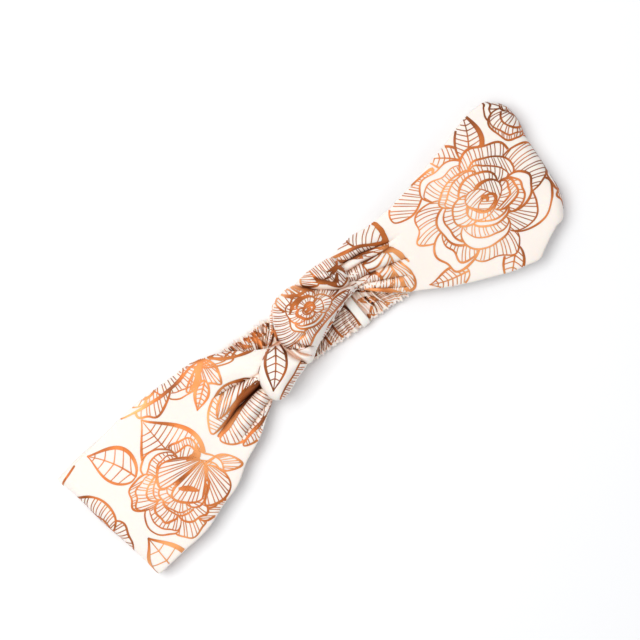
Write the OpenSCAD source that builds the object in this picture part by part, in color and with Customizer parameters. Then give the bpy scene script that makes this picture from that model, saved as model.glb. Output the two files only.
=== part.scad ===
// Knotted headband, lying flat: two printed cloth bands tied into a knot at the
// front, folded round at both ends and gathered into an elastic casing behind.
// Millimetres. +X runs along the folded loop, +Y across it, +Z up.

/* [Loop] */
// Length of the loop when it is folded flat
flat_length = 258; // [254:1:264]
// Thickness of a band, which is a flattened tube of cloth
band_t = 3.2; // [2.6:0.1:3.4]
// Free height between the front and the back layer
loop_gap = 4.8; // [4.6:0.1:5.4]
// Distance of each knot hinge from the middle
knot_hinge_x = 30; // [29:0.5:31]

/* [Casing] */
// Width of the flat knitted elastic
elastic_w = 25; // [20:1:26]
// Thickness of the elastic
elastic_t = 1.2; // [0.8:0.1:1.4]
// Length of the ruched casing, relaxed
casing_len = 104; // [100:1:106]
// Length of each end of the casing that moves out as the elastic stretches
stretch_len = 22; // [16:1:26]
// Height of the ruched casing
casing_h = 7; // [6.6:0.1:7.2]
// Length of the plain hem at each end of the casing
hem_len = 4; // [3.6:0.2:4.4]
// Ruffles along each edge of the casing
ruffles = 21; // [15:1:25]
// Turn of the casing in plan, in degrees
casing_turn = -7; // [-8:0.5:-5]

/* [Knot] */
// Height of the knot above the surface that the loop lies on
knot_top = 27; // [25:0.5:30]
// Thickness of the straps where they cross under the knot's front
core_t = 5.4; // [5:0.1:5.8]

/* [Hidden] */
$fn = 48;

LEFT = -1;
RIGHT = 1;
half_length = flat_length / 2;
clear = 0.3;            // between pieces that move against each other
touch = 0.02;           // between pieces that lie against each other

// Heights of the two layers, and the fold that joins them at each end
back_z = 0.3;
front_z = back_z + band_t + loop_gap;
band_top = front_z + band_t;
fold_r = (band_top - back_z) / 2;
fold_z = back_z + fold_r;
fold_x = half_length - fold_r;
fold_tail = 2.2;        // how far the fold reaches in under the front layer

// Casing and its two ends
casing_y = 10;          // middle of the casing, across the loop
casing_w = elastic_w + 2.5;
hem_gap = 0.1;
hem_x = casing_len / 2 + hem_gap;
hinge_x = hem_x + hem_len;                      // where a gathered end turns in its hem
barrel_r = band_t / 2 + 0.1;
barrel_z = barrel_r + 2 * clear;
hem_y = [casing_y + hinge_x * tan(-casing_turn), casing_y - hinge_x * tan(-casing_turn)];
stitch_r = 0.25;
stitch_pitch = 3;

// Seam allowances lie inside the bands
seam_w = 7;
seam_t = 0.8;
seam_play = 0.15;

cloth = "linen";
foil = "peru";
thread = "white";

function hem_centre(side) = side == LEFT ? hem_y[0] : hem_y[1];

// Outlines, from the knot outwards along the upper edge and back along the lower one.
// Each front and back layer runs on to the fold at its end.
left_upper = [[-30, 16.5], [-44, 29.5], [-52, 33.2], [-64, 34.8], [-85, 36], [-105, 36], [-116, 35]];
left_lower = [[-98, -26.5], [-80, -23.5], [-62, -16.5], [-46, -10], [-35, -3.5], [-30, -2.5]];
right_upper = [[30, 26], [46, 26.6], [60, 26.4], [75, 27], [88, 29], [98, 31], [108, 33], [114, 33.4]];
right_lower = [[110, -29.5], [103, -33.4], [95, -36], [86, -33.8], [78, -31], [69, -26.5], [59, -21],
               [49, -15], [40, -8.5], [34, 0], [30, 4]];
// Lower and upper end of each fold
left_fold_y = [-26.5, 33.5];
right_fold_y = [-19, 27];

// The back layers, from the fold to where the gathers begin
gather_x = 76;
left_back = [[-gather_x, 29.4], [-88, 34], [-100, 35.4], [-112, 35.2]];
left_back_lower = [[-104, -26.4], [-92, -20], [-gather_x, 4.4]];
right_back = [[gather_x, 15.6], [88, 25], [100, 30.6], [112, 32.6]];
right_back_lower = [[107, -29], [96, -27], [84, -19], [gather_x, -9.4]];

module slab(points, z, t) {
    translate([0, 0, z]) linear_extrude(t) polygon(points);
}

function fold_ends(side, y) = side == LEFT
    ? [[-fold_x, y[1]], [-fold_x, y[0]]]
    : [[fold_x, y[1]], [fold_x, y[0]]];

// The end of the loop, where the front layer turns round to the back one. It belongs to
// the front layer, and the back layer turns about the middle of it.
module end_fold(side, y) {
    translate([side * fold_x, y[0], fold_z])
        rotate([-90, 0, 0])
            linear_extrude(y[1] - y[0])
                difference() {
                    circle(r = fold_r);
                    circle(r = loop_gap / 2);
                    translate([side > 0 ? -2 * fold_r + touch : -touch, -2 * fold_r])
                        square(2 * fold_r);
                    translate([side > 0 ? -2 * fold_r - fold_tail : fold_tail, -fold_r])
                        square(2 * fold_r);
                }
}

// The back layer stays clear of the fold that turns inside it
module fold_room(side) {
    translate([side * fold_x, -60, fold_z]) rotate([-90, 0, 0]) cylinder(r = fold_r + clear, h = 120);
}

// A tube of cloth has its lengthwise seam allowance loose inside it
module seam_strip(x0, x1, y, z, play = 0) {
    translate([x0 - play, y - seam_w / 2 - play, z + (band_t - seam_t) / 2 - play])
        cube([x1 - x0 + 2 * play, seam_w + 2 * play, seam_t + 2 * play]);
}

front_seam = [50, 112];
back_seam = [80, 112];
left_seam_y = 4;
right_seam_y = 4;
left_back_seam_y = 14;
right_back_seam_y = 3;

module left_front_band() {
    color(cloth) difference() {
        slab(concat(left_upper, fold_ends(LEFT, left_fold_y), left_lower), front_z, band_t);
        seam_strip(-front_seam[1], -front_seam[0], left_seam_y, front_z, seam_play);
        neck_room(touch);
    }
}

module right_front_band() {
    color(cloth) difference() {
        slab(concat(right_upper, fold_ends(RIGHT, right_fold_y), right_lower), front_z, band_t);
        seam_strip(front_seam[0], front_seam[1], right_seam_y, front_z, seam_play);
        neck_room(touch);
    }
}

module left_front_seam_allowance() {
    color(thread) seam_strip(-front_seam[1], -front_seam[0], left_seam_y, front_z);
}

module right_front_seam_allowance() {
    color(thread) seam_strip(front_seam[0], front_seam[1], right_seam_y, front_z);
}

module left_back_band() {
    color(cloth) difference() {
        slab(concat(left_back, fold_ends(LEFT, left_fold_y), left_back_lower), back_z, band_t);
        seam_strip(-back_seam[1], -back_seam[0], left_back_seam_y, back_z, seam_play);
        fold_room(LEFT);
    }
}

module right_back_band() {
    color(cloth) difference() {
        slab(concat(right_back, fold_ends(RIGHT, right_fold_y), right_back_lower), back_z, band_t);
        seam_strip(back_seam[0], back_seam[1], right_back_seam_y, back_z, seam_play);
        fold_room(RIGHT);
    }
}

module left_back_seam_allowance() {
    color(thread) seam_strip(-back_seam[1], -back_seam[0], left_back_seam_y, back_z);
}

module right_back_seam_allowance() {
    color(thread) seam_strip(back_seam[0], back_seam[1], right_back_seam_y, back_z);
}

module left_end_fold() {
    color(cloth) end_fold(LEFT, left_fold_y);
}

module right_end_fold() {
    color(cloth) end_fold(RIGHT, right_fold_y);
}

// The pleated end of a band, with a round edge that turns in the casing's hem
module gathered_end(side) {
    y = side == LEFT ? hem_y[0] : hem_y[1];
    half = casing_w / 2 - 1.2;
    start = min(side * hinge_x, side * (gather_x - touch));
    translate([side * hinge_x, y - half, barrel_z]) rotate([-90, 0, 0]) cylinder(r = barrel_r, h = 2 * half);
    translate([start, y - half, barrel_z - band_t / 2]) cube([gather_x - touch - hinge_x, 2 * half, band_t]);
}

module left_gathered_end() {
    color(cloth) gathered_end(LEFT);
}

module right_gathered_end() {
    color(cloth) gathered_end(RIGHT);
}

// The casing lies turned in plan, so its pieces are drawn along X and then turned
module along_casing() {
    translate([0, casing_y, 0]) rotate([0, 0, casing_turn]) children();
}

seam_gap = 0.2;
channel_t = elastic_t + seam_gap + seam_t + 2 * clear;
channel_z = (casing_h - channel_t) / 2;
elastic_z = channel_z + clear;

// One edge of the ruched casing, which ripples along its length
function ruffle_edge(s) = [
    for (i = [0 : ruffles * 4])
        let (u = i / (ruffles * 4), x = (u - 0.5) * (casing_len + 8))
            [s * x, s * (casing_w / 2 + 0.55 * sin(u * ruffles * 360) - 0.55)]
];

// A length of the casing between two places along X
module casing_tube(x0, x1) {
    intersection() {
        along_casing() difference() {
            linear_extrude(casing_h) polygon(concat(ruffle_edge(1), ruffle_edge(-1)));
            translate([-casing_len, -elastic_w / 2 - clear, channel_z])
                cube([2 * casing_len, elastic_w + 2 * clear, channel_t]);
        }
        translate([x0, -50, 0]) cube([x1 - x0, 120, casing_h]);
    }
}

middle_half = casing_len / 2 - stretch_len;

module elastic_casing() {
    color(cloth) casing_tube(-middle_half + clear / 2, middle_half - clear / 2);
}

module left_casing_end() {
    color(cloth) casing_tube(-casing_len / 2, -middle_half - clear / 2);
}

module right_casing_end() {
    color(cloth) casing_tube(middle_half + clear / 2, casing_len / 2);
}

// A flat strip lying along the casing, cut off square to X
module casing_strip(half, w, z, t) {
    intersection() {
        along_casing() translate([-casing_len, -w / 2, z]) cube([2 * casing_len, w, t]);
        translate([-half, -50, 0]) cube([2 * half, 120, casing_h]);
    }
}

module elastic_strip() {
    color("white") casing_strip(casing_len / 2 - clear, elastic_w, elastic_z, elastic_t);
}

module casing_seam_allowance() {
    color(thread) casing_strip(casing_len / 2 - 3, seam_w, elastic_z + elastic_t + seam_gap, seam_t);
}

// A plain strip of cotton covers the place where the casing's two lengths are joined
join_x = 19.8;
join_w = 4;
join_t = 0.4;

module casing_join_strip() {
    color("white") along_casing()
        translate([join_x - join_w / 2, -casing_w / 2 - 0.3, casing_h + touch])
            cube([join_w, casing_w + 0.6, join_t]);
}

// The casing's turned-in end. It lips over the round edge of the gathered band, and the
// lip is cut back so that the band can lift.
lift = 62;

module casing_hem(side) {
    y = side == LEFT ? hem_y[0] : hem_y[1];
    difference() {
        translate([side > 0 ? hem_x : -hinge_x, y - casing_w / 2, 0]) cube([hem_len, casing_w, casing_h]);
        translate([side * hinge_x, y - casing_w, barrel_z]) {
            rotate([-90, 0, 0]) cylinder(r = barrel_r + clear, h = 2 * casing_w);
            rotate([0, side * (90 - lift), 0])
                translate([side > 0 ? -barrel_r - clear : barrel_r + clear - 20, 0, 0])
                    cube([20, 2 * casing_w, 20]);
        }
        bartack(side, seam_play);
    }
}

// Where the end of the elastic is tacked down inside the hem
module bartack(side, play = 0) {
    size = [1.2, elastic_w - 2, 1];
    y = side == LEFT ? hem_y[0] : hem_y[1];
    translate([side * (hem_x + 0.6 + size[0] / 2), y, casing_h - 1.7])
        cube([size[0] + 2 * play, size[1] + 2 * play, size[2] + 2 * play], center = true);
}

module left_casing_hem() {
    color(cloth) casing_hem(LEFT);
}

module right_casing_hem() {
    color(cloth) casing_hem(RIGHT);
}

// A row of single stitches lying on the hem
module hem_topstitch(side) {
    count = floor((casing_w - 3) / stitch_pitch);
    y = side == LEFT ? hem_y[0] : hem_y[1];
    for (i = [0 : count - 1])
        let (row_y = y + (i - (count - 1) / 2) * stitch_pitch - 0.9)
            translate([side * (hem_x + 1), row_y, casing_h + stitch_r + touch])
                rotate([-90, 0, 0]) cylinder(r = stitch_r, h = 1.8, $fn = 16);
}

module left_hem_topstitch() {
    color(thread) hem_topstitch(LEFT);
}

module right_hem_topstitch() {
    color(thread) hem_topstitch(RIGHT);
}

module left_elastic_bartack() {
    color(thread) bartack(LEFT);
}

module right_elastic_bartack() {
    color(thread) bartack(RIGHT);
}

// Knot. The necks of both bands turn about two axes at the height of the front layer.
neck_z = front_z + band_t / 2;
core_z = casing_h + 0.5;
core_top = core_z + core_t;
wrap_z = core_top + touch;
right_play = 2;         // the right neck is a free fit in the knot

module neck(side, y0, y1) {
    translate([side * knot_hinge_x, y0, neck_z]) rotate([-90, 0, 0]) cylinder(r = barrel_r, h = y1 - y0);
}

// The space round both necks
module neck_room(play) {
    for (side = [LEFT, RIGHT])
        translate([side * knot_hinge_x, -60, neck_z])
            rotate([-90, 0, 0]) cylinder(r = barrel_r + play, h = 120);
}

module left_neck() {
    color(cloth) neck(LEFT, -2, 16);
}

module right_neck() {
    color(cloth) neck(RIGHT, 4.5, 25.5);
}

core_end = knot_hinge_x - barrel_r - clear - right_play;
core = [[-28.5, -4], [-28.5, 17], [-20, 25], [-6, 27.5], [12, 28], [core_end, 26], [core_end, 5.6],
        [20, 4], [2, 0], [-14, -3]];

module knot_crossing() {
    color(cloth) difference() {
        slab(core, core_z, core_t);
        neck_room(clear);
    }
}

// A strap lobe: a flat foot with a smaller, higher crown
module lobe(points, z, height, crown_in) {
    hull() {
        translate([0, 0, z]) linear_extrude(height * 0.45) polygon(points);
        translate([0, 0, z]) linear_extrude(height) offset(delta = -crown_in) polygon(points);
    }
}

front_wrap = [[-16.5, 13], [-13.5, 20], [-7.5, 28], [-1, 29], [6, 27.5], [11, 22], [18, 15], [23.5, 10],
              [13, 6.5], [3, 1.5], [-6, -1.5], [-14.5, 2]];
neck_wrap = [[-35.5, 0], [-34.5, 8], [-31, 12], [-24, 14.8], [-18, 14.6], [-17, 12], [-15, 1.4], [-18, -3.2],
             [-27, -5.6], [-33.5, -4.6]];
top_loop = [[7.5, 27.6], [16, 28], [25.5, 26], [25.8, 17], [23.5, 12.6], [18.6, 16], [12, 22.4]];
side_tuck = [[-20, 15.5], [-15, 24.5], [-9.4, 27.2], [-14.6, 20.2], [-17.3, 14.8]];

module knot_front_wrap() {
    color(cloth) lobe(front_wrap, wrap_z, knot_top - wrap_z, 5);
}

module knot_neck_wrap() {
    color(cloth) lobe(neck_wrap, wrap_z, knot_top - wrap_z - 5, 4);
}

module knot_top_loop() {
    color(foil) lobe(top_loop, wrap_z, knot_top - wrap_z - 4, 2.4);
}

module knot_side_tuck() {
    color(foil) lobe(side_tuck, wrap_z, knot_top - wrap_z - 8, 0.6);
}

elastic_casing();
elastic_strip();
casing_seam_allowance();
casing_join_strip();
left_casing_end();
left_casing_hem();
left_hem_topstitch();
left_elastic_bartack();
right_casing_end();
right_casing_hem();
right_hem_topstitch();
right_elastic_bartack();
left_back_band();
left_gathered_end();
left_back_seam_allowance();
right_back_band();
right_gathered_end();
right_back_seam_allowance();
left_front_band();
left_front_seam_allowance();
left_end_fold();
left_neck();
right_front_band();
right_front_seam_allowance();
right_end_fold();
right_neck();
knot_crossing();
knot_front_wrap();
knot_neck_wrap();
knot_top_loop();
knot_side_tuck();
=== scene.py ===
"""Knotted headband, lying folded flat: printed cotton bands tied into a knot, on a ruched casing.

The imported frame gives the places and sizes. Lengths in this file are millimetres until a mesh
is written, which is in metres.
"""

from __future__ import annotations

import logging
import math
from dataclasses import dataclass, field
from enum import Enum
from typing import Callable, Sequence

import bpy
import numpy as np
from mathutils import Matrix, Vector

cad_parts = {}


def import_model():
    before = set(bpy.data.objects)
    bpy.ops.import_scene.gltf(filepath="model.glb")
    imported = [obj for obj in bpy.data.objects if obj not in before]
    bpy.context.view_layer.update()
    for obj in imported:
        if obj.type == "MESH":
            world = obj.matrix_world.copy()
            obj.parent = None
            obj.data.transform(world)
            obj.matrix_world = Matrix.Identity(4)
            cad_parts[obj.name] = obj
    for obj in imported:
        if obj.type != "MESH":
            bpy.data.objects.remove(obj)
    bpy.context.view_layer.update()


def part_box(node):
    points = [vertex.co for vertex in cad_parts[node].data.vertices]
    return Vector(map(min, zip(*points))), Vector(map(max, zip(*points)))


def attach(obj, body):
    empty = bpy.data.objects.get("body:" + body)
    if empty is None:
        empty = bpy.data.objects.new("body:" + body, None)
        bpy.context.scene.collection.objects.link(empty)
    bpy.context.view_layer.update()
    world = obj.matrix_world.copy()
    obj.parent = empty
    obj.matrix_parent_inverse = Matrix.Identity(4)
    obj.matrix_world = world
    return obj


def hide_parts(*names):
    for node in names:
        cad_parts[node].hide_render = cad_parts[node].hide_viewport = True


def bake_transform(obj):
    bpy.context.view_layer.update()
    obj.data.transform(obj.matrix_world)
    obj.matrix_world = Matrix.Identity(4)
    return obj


LOG = logging.getLogger("headband")
MM = 0.001
# Painted shade: how near other cloth has to be for a fold to be painted darker
PAINTED_SHADE_REACH = 5  # how near other cloth has to be to darken a fold
PROBE_ROW = 40  # a row of a band's front layer, by which its faces are turned outwards
Array = np.ndarray
Point = tuple[float, float]
UP = np.array([0.0, 0.0, 1.0])


class Side(Enum):
    """Which way a band runs from the knot, as the sign of X."""

    LEFT = -1
    RIGHT = 1

    @property
    def word(self) -> str:
        """The side's name, as node and body names begin."""
        return self.name.lower()


# ---------------------------------------------------------------------------
# Curves, folds and waves
# ---------------------------------------------------------------------------


def step(x: Array, low: float, high: float) -> Array:
    """A smooth rise from 0 at low to 1 at high.

    Args:
        x: Places to read the rise at.
        low: Where it starts. It may be more than high.
        high: Where it ends.

    Returns:
        The height of the rise at each place.
    """
    t = np.clip((x - low) / (high - low), 0.0, 1.0)
    return t * t * (3 - 2 * t)


def curve_through(points: Sequence[Point], at: Array) -> Array:
    """A smooth curve through given points, y as a function of x.

    Args:
        points: The (x, y) points, in either order of x.
        at: Places along x.

    Returns:
        y at each place, held level past the ends.
    """
    x, y = np.array(sorted(points), float).T
    slope = np.gradient(y, x)
    at = np.clip(at, x[0], x[-1])
    i = np.clip(np.searchsorted(x, at) - 1, 0, len(x) - 2)
    width = x[i + 1] - x[i]
    t = (at - x[i]) / width
    return (
        y[i] * (1 + 2 * t) * (1 - t) ** 2
        + slope[i] * width * t * (1 - t) ** 2
        + y[i + 1] * t * t * (3 - 2 * t)
        + slope[i + 1] * width * t * t * (t - 1)
    )


def closed_curve(points: Sequence[Point], count: int) -> Array:
    """A smooth closed outline through given points.

    Args:
        points: The corners, in order.
        count: How many places to return.

    Returns:
        Places on the outline, count by 2.
    """
    corners = np.array(points, float)
    spot = np.linspace(0, len(corners), count, endpoint=False)
    i = spot.astype(int)
    t = (spot - i)[:, None]
    before, here, after, beyond = (corners[(i + k) % len(corners)] for k in (-1, 0, 1, 2))
    return 0.5 * (
        2 * here
        + (after - before) * t
        + (2 * before - 5 * here + 4 * after - beyond) * t**2
        + (3 * here - before - 3 * after + beyond) * t**3
    )


def waves(x: Array, y: Array, length: float, seed: int, count: int = 6) -> Array:
    """Gentle unevenness: plane waves of about one length, in seeded directions.

    Args:
        x: First coordinate.
        y: Second coordinate.
        length: Mean wave length.
        seed: Seed of the directions, lengths and phases.
        count: How many waves are added up.

    Returns:
        Heights between about -1 and 1.
    """
    random = np.random.default_rng(seed)
    total = np.zeros(np.broadcast(x, y).shape)
    for _ in range(count):
        turn, phase = random.uniform(0, 2 * math.pi, 2)
        number = 2 * math.pi / (length * random.uniform(0.65, 1.5))
        total = total + np.sin(number * (x * math.cos(turn) + y * math.sin(turn)) + phase)
    return total / math.sqrt(count * 2)


@dataclass(frozen=True)
class Fold:
    """A crease or a rolled ridge in cloth, along a line in plan."""

    line: tuple[Point, ...]
    width: float
    height: float  # below zero for a valley
    pinch: float = 0.0  # how far the cloth on both sides is drawn in over it
    fade_in: float = 0.5  # share of the line over which it grows
    fade_out: float = 0.0

    def press(self, points: Array) -> None:
        """Moves the points of a sheet of cloth that lies in plan.

        Args:
            points: Points of the sheet, any shape by 3, changed in place.
        """
        corners = np.array(self.line, float)
        lengths = np.linalg.norm(np.diff(corners, axis=0), axis=1)
        starts = np.concatenate([[0], np.cumsum(lengths)])
        flat = points[..., :2]
        best = np.full(flat.shape[:-1], 1e9)
        along = np.zeros(flat.shape[:-1])
        toward = np.zeros(flat.shape)
        for a, b, start, length in zip(corners[:-1], corners[1:], starts, lengths):
            share = np.clip(((flat - a) @ (b - a)) / length**2, 0, 1)
            away = a + share[..., None] * (b - a) - flat
            distance = np.linalg.norm(away, axis=-1)
            nearer = distance < best
            best = np.where(nearer, distance, best)
            along = np.where(nearer, (start + share * length) / starts[-1], along)
            toward = np.where(nearer[..., None], away, toward)
        taper = np.clip(along / max(self.fade_in, 1e-6), 0, 1)
        taper = taper * np.clip((1 - along) / max(self.fade_out, 1e-6), 0, 1)
        bump = np.exp(-((best / self.width) ** 2)) * taper * taper * (3 - 2 * taper)
        points[..., 2] += self.height * bump
        if self.pinch:
            points[..., :2] += toward * (self.pinch / self.width * bump)[..., None]


# ---------------------------------------------------------------------------
# Cloth as grids of points, and meshes made from them
# ---------------------------------------------------------------------------


def grid_normals(points: Array, wrap: bool = False) -> Array:
    """Unit normals of a grid of points, by the cross product of its two directions.

    Args:
        points: Rows by columns by 3.
        wrap: Whether the last column joins the first.

    Returns:
        Normals of the same shape.
    """
    rows = np.gradient(points, axis=0)
    if wrap:
        columns = (np.roll(points, -1, axis=1) - np.roll(points, 1, axis=1)) / 2
    else:
        columns = np.gradient(points, axis=1)
    normals = np.cross(rows, columns)
    return normals / np.maximum(np.linalg.norm(normals, axis=-1, keepdims=True), 1e-9)


def placed(name: str, mesh: bpy.types.Mesh) -> bpy.types.Object:
    """Puts a mesh in the scene as an object.

    Args:
        name: Name of the object.
        mesh: Its mesh.

    Returns:
        The object.
    """
    made = bpy.data.objects.new(name, mesh)
    bpy.context.scene.collection.objects.link(made)
    return made


@dataclass
class Skin:
    """One face of a piece of cloth: a grid of points with outward normals."""

    points: Array
    normals: Array
    wrap: bool = False

    def at(self, rows: Array, columns: Array) -> tuple[Array, Array]:
        """Points and normals between the grid's points.

        Args:
            rows: Places along the rows.
            columns: Places along the columns.

        Returns:
            Points and normals at those places.
        """
        height, width = self.points.shape[:2]
        r = np.clip(np.floor(rows).astype(int), 0, height - 2)
        s = (rows - r)[..., None]
        c = np.floor(columns).astype(int)
        c = c % width if self.wrap else np.clip(c, 0, width - 2)
        t = (columns - np.floor(columns))[..., None] if self.wrap else (columns - c)[..., None]
        beside = (c + 1) % width
        found = []
        for grid in (self.points, self.normals):
            found.append(
                grid[r, c] * (1 - s) * (1 - t)
                + grid[r + 1, c] * s * (1 - t)
                + grid[r, beside] * (1 - s) * t
                + grid[r + 1, beside] * s * t
            )
        return found[0], found[1]


@dataclass
class ClothMesh:
    """Points, faces, pattern places and smooth normals of cloth, before it is cut in pieces."""

    points: Array
    faces: Array
    face_rows: Array
    pattern: Array
    normals: Array = field(init=False)

    def __post_init__(self) -> None:
        """Works out the normals from the faces, larger faces counting for more."""
        a, b, c, d = (self.points[self.faces[:, k]] for k in range(4))
        across = np.cross(c - a, d - b)
        total = np.zeros_like(self.points)
        for k in range(4):
            np.add.at(total, self.faces[:, k], across)
        self.normals = total / np.maximum(np.linalg.norm(total, axis=1, keepdims=True), 1e-12)

    def face_along(self, spot: int, way: Array) -> None:
        """Turns every face over if the normal at a point is against a direction.

        Args:
            spot: Index of the point.
            way: The direction.
        """
        if self.normals[spot] @ way < 0:
            self.faces = self.faces[:, ::-1]
            self.__post_init__()

    def piece(self, name: str, low: int = 0, high: int = 10**6) -> bpy.types.Object:
        """Makes an object of the faces in a range of rows.

        Args:
            name: Name of the object.
            low: First row of faces.
            high: One past the last row of faces.

        Returns:
            The object, with its pattern map and with the normals of the whole cloth.
        """
        faces = self.faces[(self.face_rows >= low) & (self.face_rows < high)]
        used, faces = np.unique(faces, return_inverse=True)
        faces = faces.reshape(-1, 4)
        corners = [tuple(dict.fromkeys(face)) for face in faces.tolist()]
        corners = [face for face in corners if len(face) > 2]
        mesh = bpy.data.meshes.new(name)
        mesh.from_pydata((self.points[used] * MM).tolist(), [], corners)
        pattern = mesh.uv_layers.new(name="Cloth")
        loops = np.zeros(len(mesh.loops), np.int32)
        mesh.loops.foreach_get("vertex_index", loops)
        pattern.data.foreach_set("uv", (self.pattern[used][loops] * MM).astype(np.float32).ravel())
        mesh.polygons.foreach_set("use_smooth", [True] * len(mesh.polygons))
        mesh.normals_split_custom_set_from_vertices(self.normals[used].tolist())
        return placed(name, mesh)


def tube_mesh(outer: Skin, inner: Skin, pattern: Array, closed_rows: Sequence[int]) -> ClothMesh:
    """Joins two skins into a flattened tube, along both edges and at its closed ends.

    Args:
        outer: The face on the outside of the loop.
        inner: The face on the inside, of the same shape.
        pattern: Places on the print for each point of the grid.
        closed_rows: Rows in which the two skins meet.

    Returns:
        The tube, with its faces turned outwards.
    """
    rows, columns = outer.points.shape[:2]
    front = np.arange(rows * columns).reshape(rows, columns)
    shared = np.zeros((rows, columns), bool)
    shared[:, [0, -1]] = True
    for row in closed_rows:
        shared[row] = True
    back = front.copy()
    back[~shared] = rows * columns + np.arange((~shared).sum())
    points = np.concatenate([outer.points.reshape(-1, 3), inner.points[~shared]])
    places = np.concatenate([pattern.reshape(-1, 2), pattern[~shared]])

    def quads(index: Array) -> Array:
        """The faces of one skin."""
        return np.stack([index[:-1, :-1], index[1:, :-1], index[1:, 1:], index[:-1, 1:]], -1).reshape(-1, 4)

    faces = np.concatenate([quads(front), quads(back)[:, ::-1]])
    row_of = np.repeat(np.arange(rows - 1), columns - 1)
    return ClothMesh(points, faces, np.concatenate([row_of, row_of]), places)


def lobe_mesh(top: Skin, bottom: Array, pattern: Array) -> ClothMesh:
    """Closes a rounded top skin with an underside.

    Args:
        top: Rings from the middle outwards, by angle.
        bottom: Rings of the underside, from the edge to the middle.
        pattern: Places on the print for the top and the underside.

    Returns:
        The closed lobe.
    """
    rings = np.concatenate([top.points, bottom])
    rows, columns = rings.shape[:2]
    index = np.arange(rows * columns).reshape(rows, columns)
    index[0] = index[0, 0]
    index[-1] = index[-1, 0]
    beside = np.roll(index, -1, axis=1)
    faces = np.stack([index[:-1], index[1:], beside[1:], beside[:-1]], -1).reshape(-1, 4)
    row_of = np.repeat(np.arange(rows - 1), columns)
    return ClothMesh(rings.reshape(-1, 3), faces, row_of, pattern.reshape(-1, 2))


# ---------------------------------------------------------------------------
# The print: line-drawn roses and leaves
# ---------------------------------------------------------------------------


def inside(points: Array, outline: Array) -> Array:
    """Whether points lie inside an outline, by the even-odd rule.

    Args:
        points: Points, count by 2.
        outline: Corners of the outline, in order.

    Returns:
        True for each point inside.
    """
    found = ((points > outline.min(axis=0)) & (points < outline.max(axis=0))).all(axis=1)
    near = points[found]
    x, y = near[:, :1], near[:, 1:]
    x0, y0 = outline[:, 0], outline[:, 1]
    x1, y1 = np.roll(x0, -1), np.roll(y0, -1)
    rise = np.where(y1 == y0, 1e-9, y1 - y0)
    crosses = ((y0 > y) != (y1 > y)) & (x < (x1 - x0) * (y - y0) / rise + x0)
    found[found] = crosses.sum(axis=1) % 2 == 1
    return found


def runs(keep: Array) -> list[tuple[int, int]]:
    """The stretches of a row of true and false values that are true.

    Args:
        keep: The row.

    Returns:
        The first index of each stretch, and one past its last.
    """
    edges = np.flatnonzero(np.diff(np.concatenate([[0], keep.astype(int), [0]])))
    return [(low, high) for low, high in zip(edges[::2], edges[1::2]) if high - low > 1]


def evenly(points: Array, spacing: float) -> tuple[Array, Array]:
    """A line again, with points about a spacing apart.

    Args:
        points: The line's points.
        spacing: Distance between the new points.

    Returns:
        The new points, and how far along the line each is, from 0 to 1.
    """
    along = np.concatenate([[0], np.cumsum(np.linalg.norm(np.diff(points, axis=0), axis=1))])
    at = np.linspace(0, along[-1], max(2, int(math.ceil(along[-1] / spacing)) + 1))
    line = np.stack([np.interp(at, along, points[:, k]) for k in range(2)], axis=1)
    return line, at / max(along[-1], 1e-9)


class Drawing:
    """Foil lines on the flat cloth. A shape hides the lines drawn before it."""

    SPACING = 0.6

    def __init__(self) -> None:
        """Starts with no lines."""
        self.lines: list[tuple[Array, Array]] = []

    def line(self, points: Array, width: float | Array) -> None:
        """Adds a line.

        Args:
            points: The line's points.
            width: Its width, or its width at evenly spaced places along it.
        """
        places, along = evenly(np.asarray(points, float), self.SPACING)
        profile = np.atleast_1d(np.asarray(width, float))
        widths = np.interp(along, np.linspace(0, 1, len(profile)), profile)
        self.lines.append((places, widths))

    def cover(self, outline: Array) -> None:
        """Hides what is drawn so far inside an outline.

        Args:
            outline: Corners of the outline.
        """
        if not self.lines:
            return
        everything = np.concatenate([points for points, _ in self.lines])
        hidden = inside(everything, outline)
        kept, start = [], 0
        for points, widths in self.lines:
            gone = hidden[start : start + len(points)]
            start += len(points)
            if not gone.any():
                kept.append((points, widths))
                continue
            kept.extend((points[low:high], widths[low:high]) for low, high in runs(~gone))
        self.lines = kept

    def shade(self, outline: Array, towards: Array, spacing: float, width: float, bow: float = 0.0) -> None:
        """Hatches a shape with lines that run towards a point.

        Args:
            outline: Corners of the shape.
            towards: The point, outside the shape.
            spacing: Distance between the lines at the middle of the shape.
            width: Width of the lines.
            bow: How far the lines curve, as a share of their length.
        """
        away = outline - towards
        middle = away.mean(axis=0)
        facing = math.atan2(middle[1], middle[0])
        turn = (np.arctan2(away[:, 1], away[:, 0]) - facing + math.pi) % (2 * math.pi) - math.pi
        reach = np.linalg.norm(away, axis=1)
        step_by = spacing / (0.35 * float(np.linalg.norm(middle)) + 0.65 * float(reach.max()))
        near, far = reach.min() * 0.7, reach.max() * 1.05
        share = np.linspace(0, 1, max(4, int((far - near) / self.SPACING)))
        margin = 0.3 * abs(bow)
        for k, angle in enumerate(np.arange(turn.min() - margin, turn.max() + margin, step_by)):
            angle += 0.18 * step_by * math.sin(2.4 * k + 1.7 * reach[0])
            curve = facing + angle + bow * np.sin(math.pi * share)
            direction = np.stack([np.cos(curve), np.sin(curve)], 1)
            ray = towards + (near + (far - near) * share)[:, None] * direction
            for low, high in runs(inside(ray, outline)):
                taper = np.array([0.75, 1.0, 1.1]) * width
                self.line(ray[low:high], taper)


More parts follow.
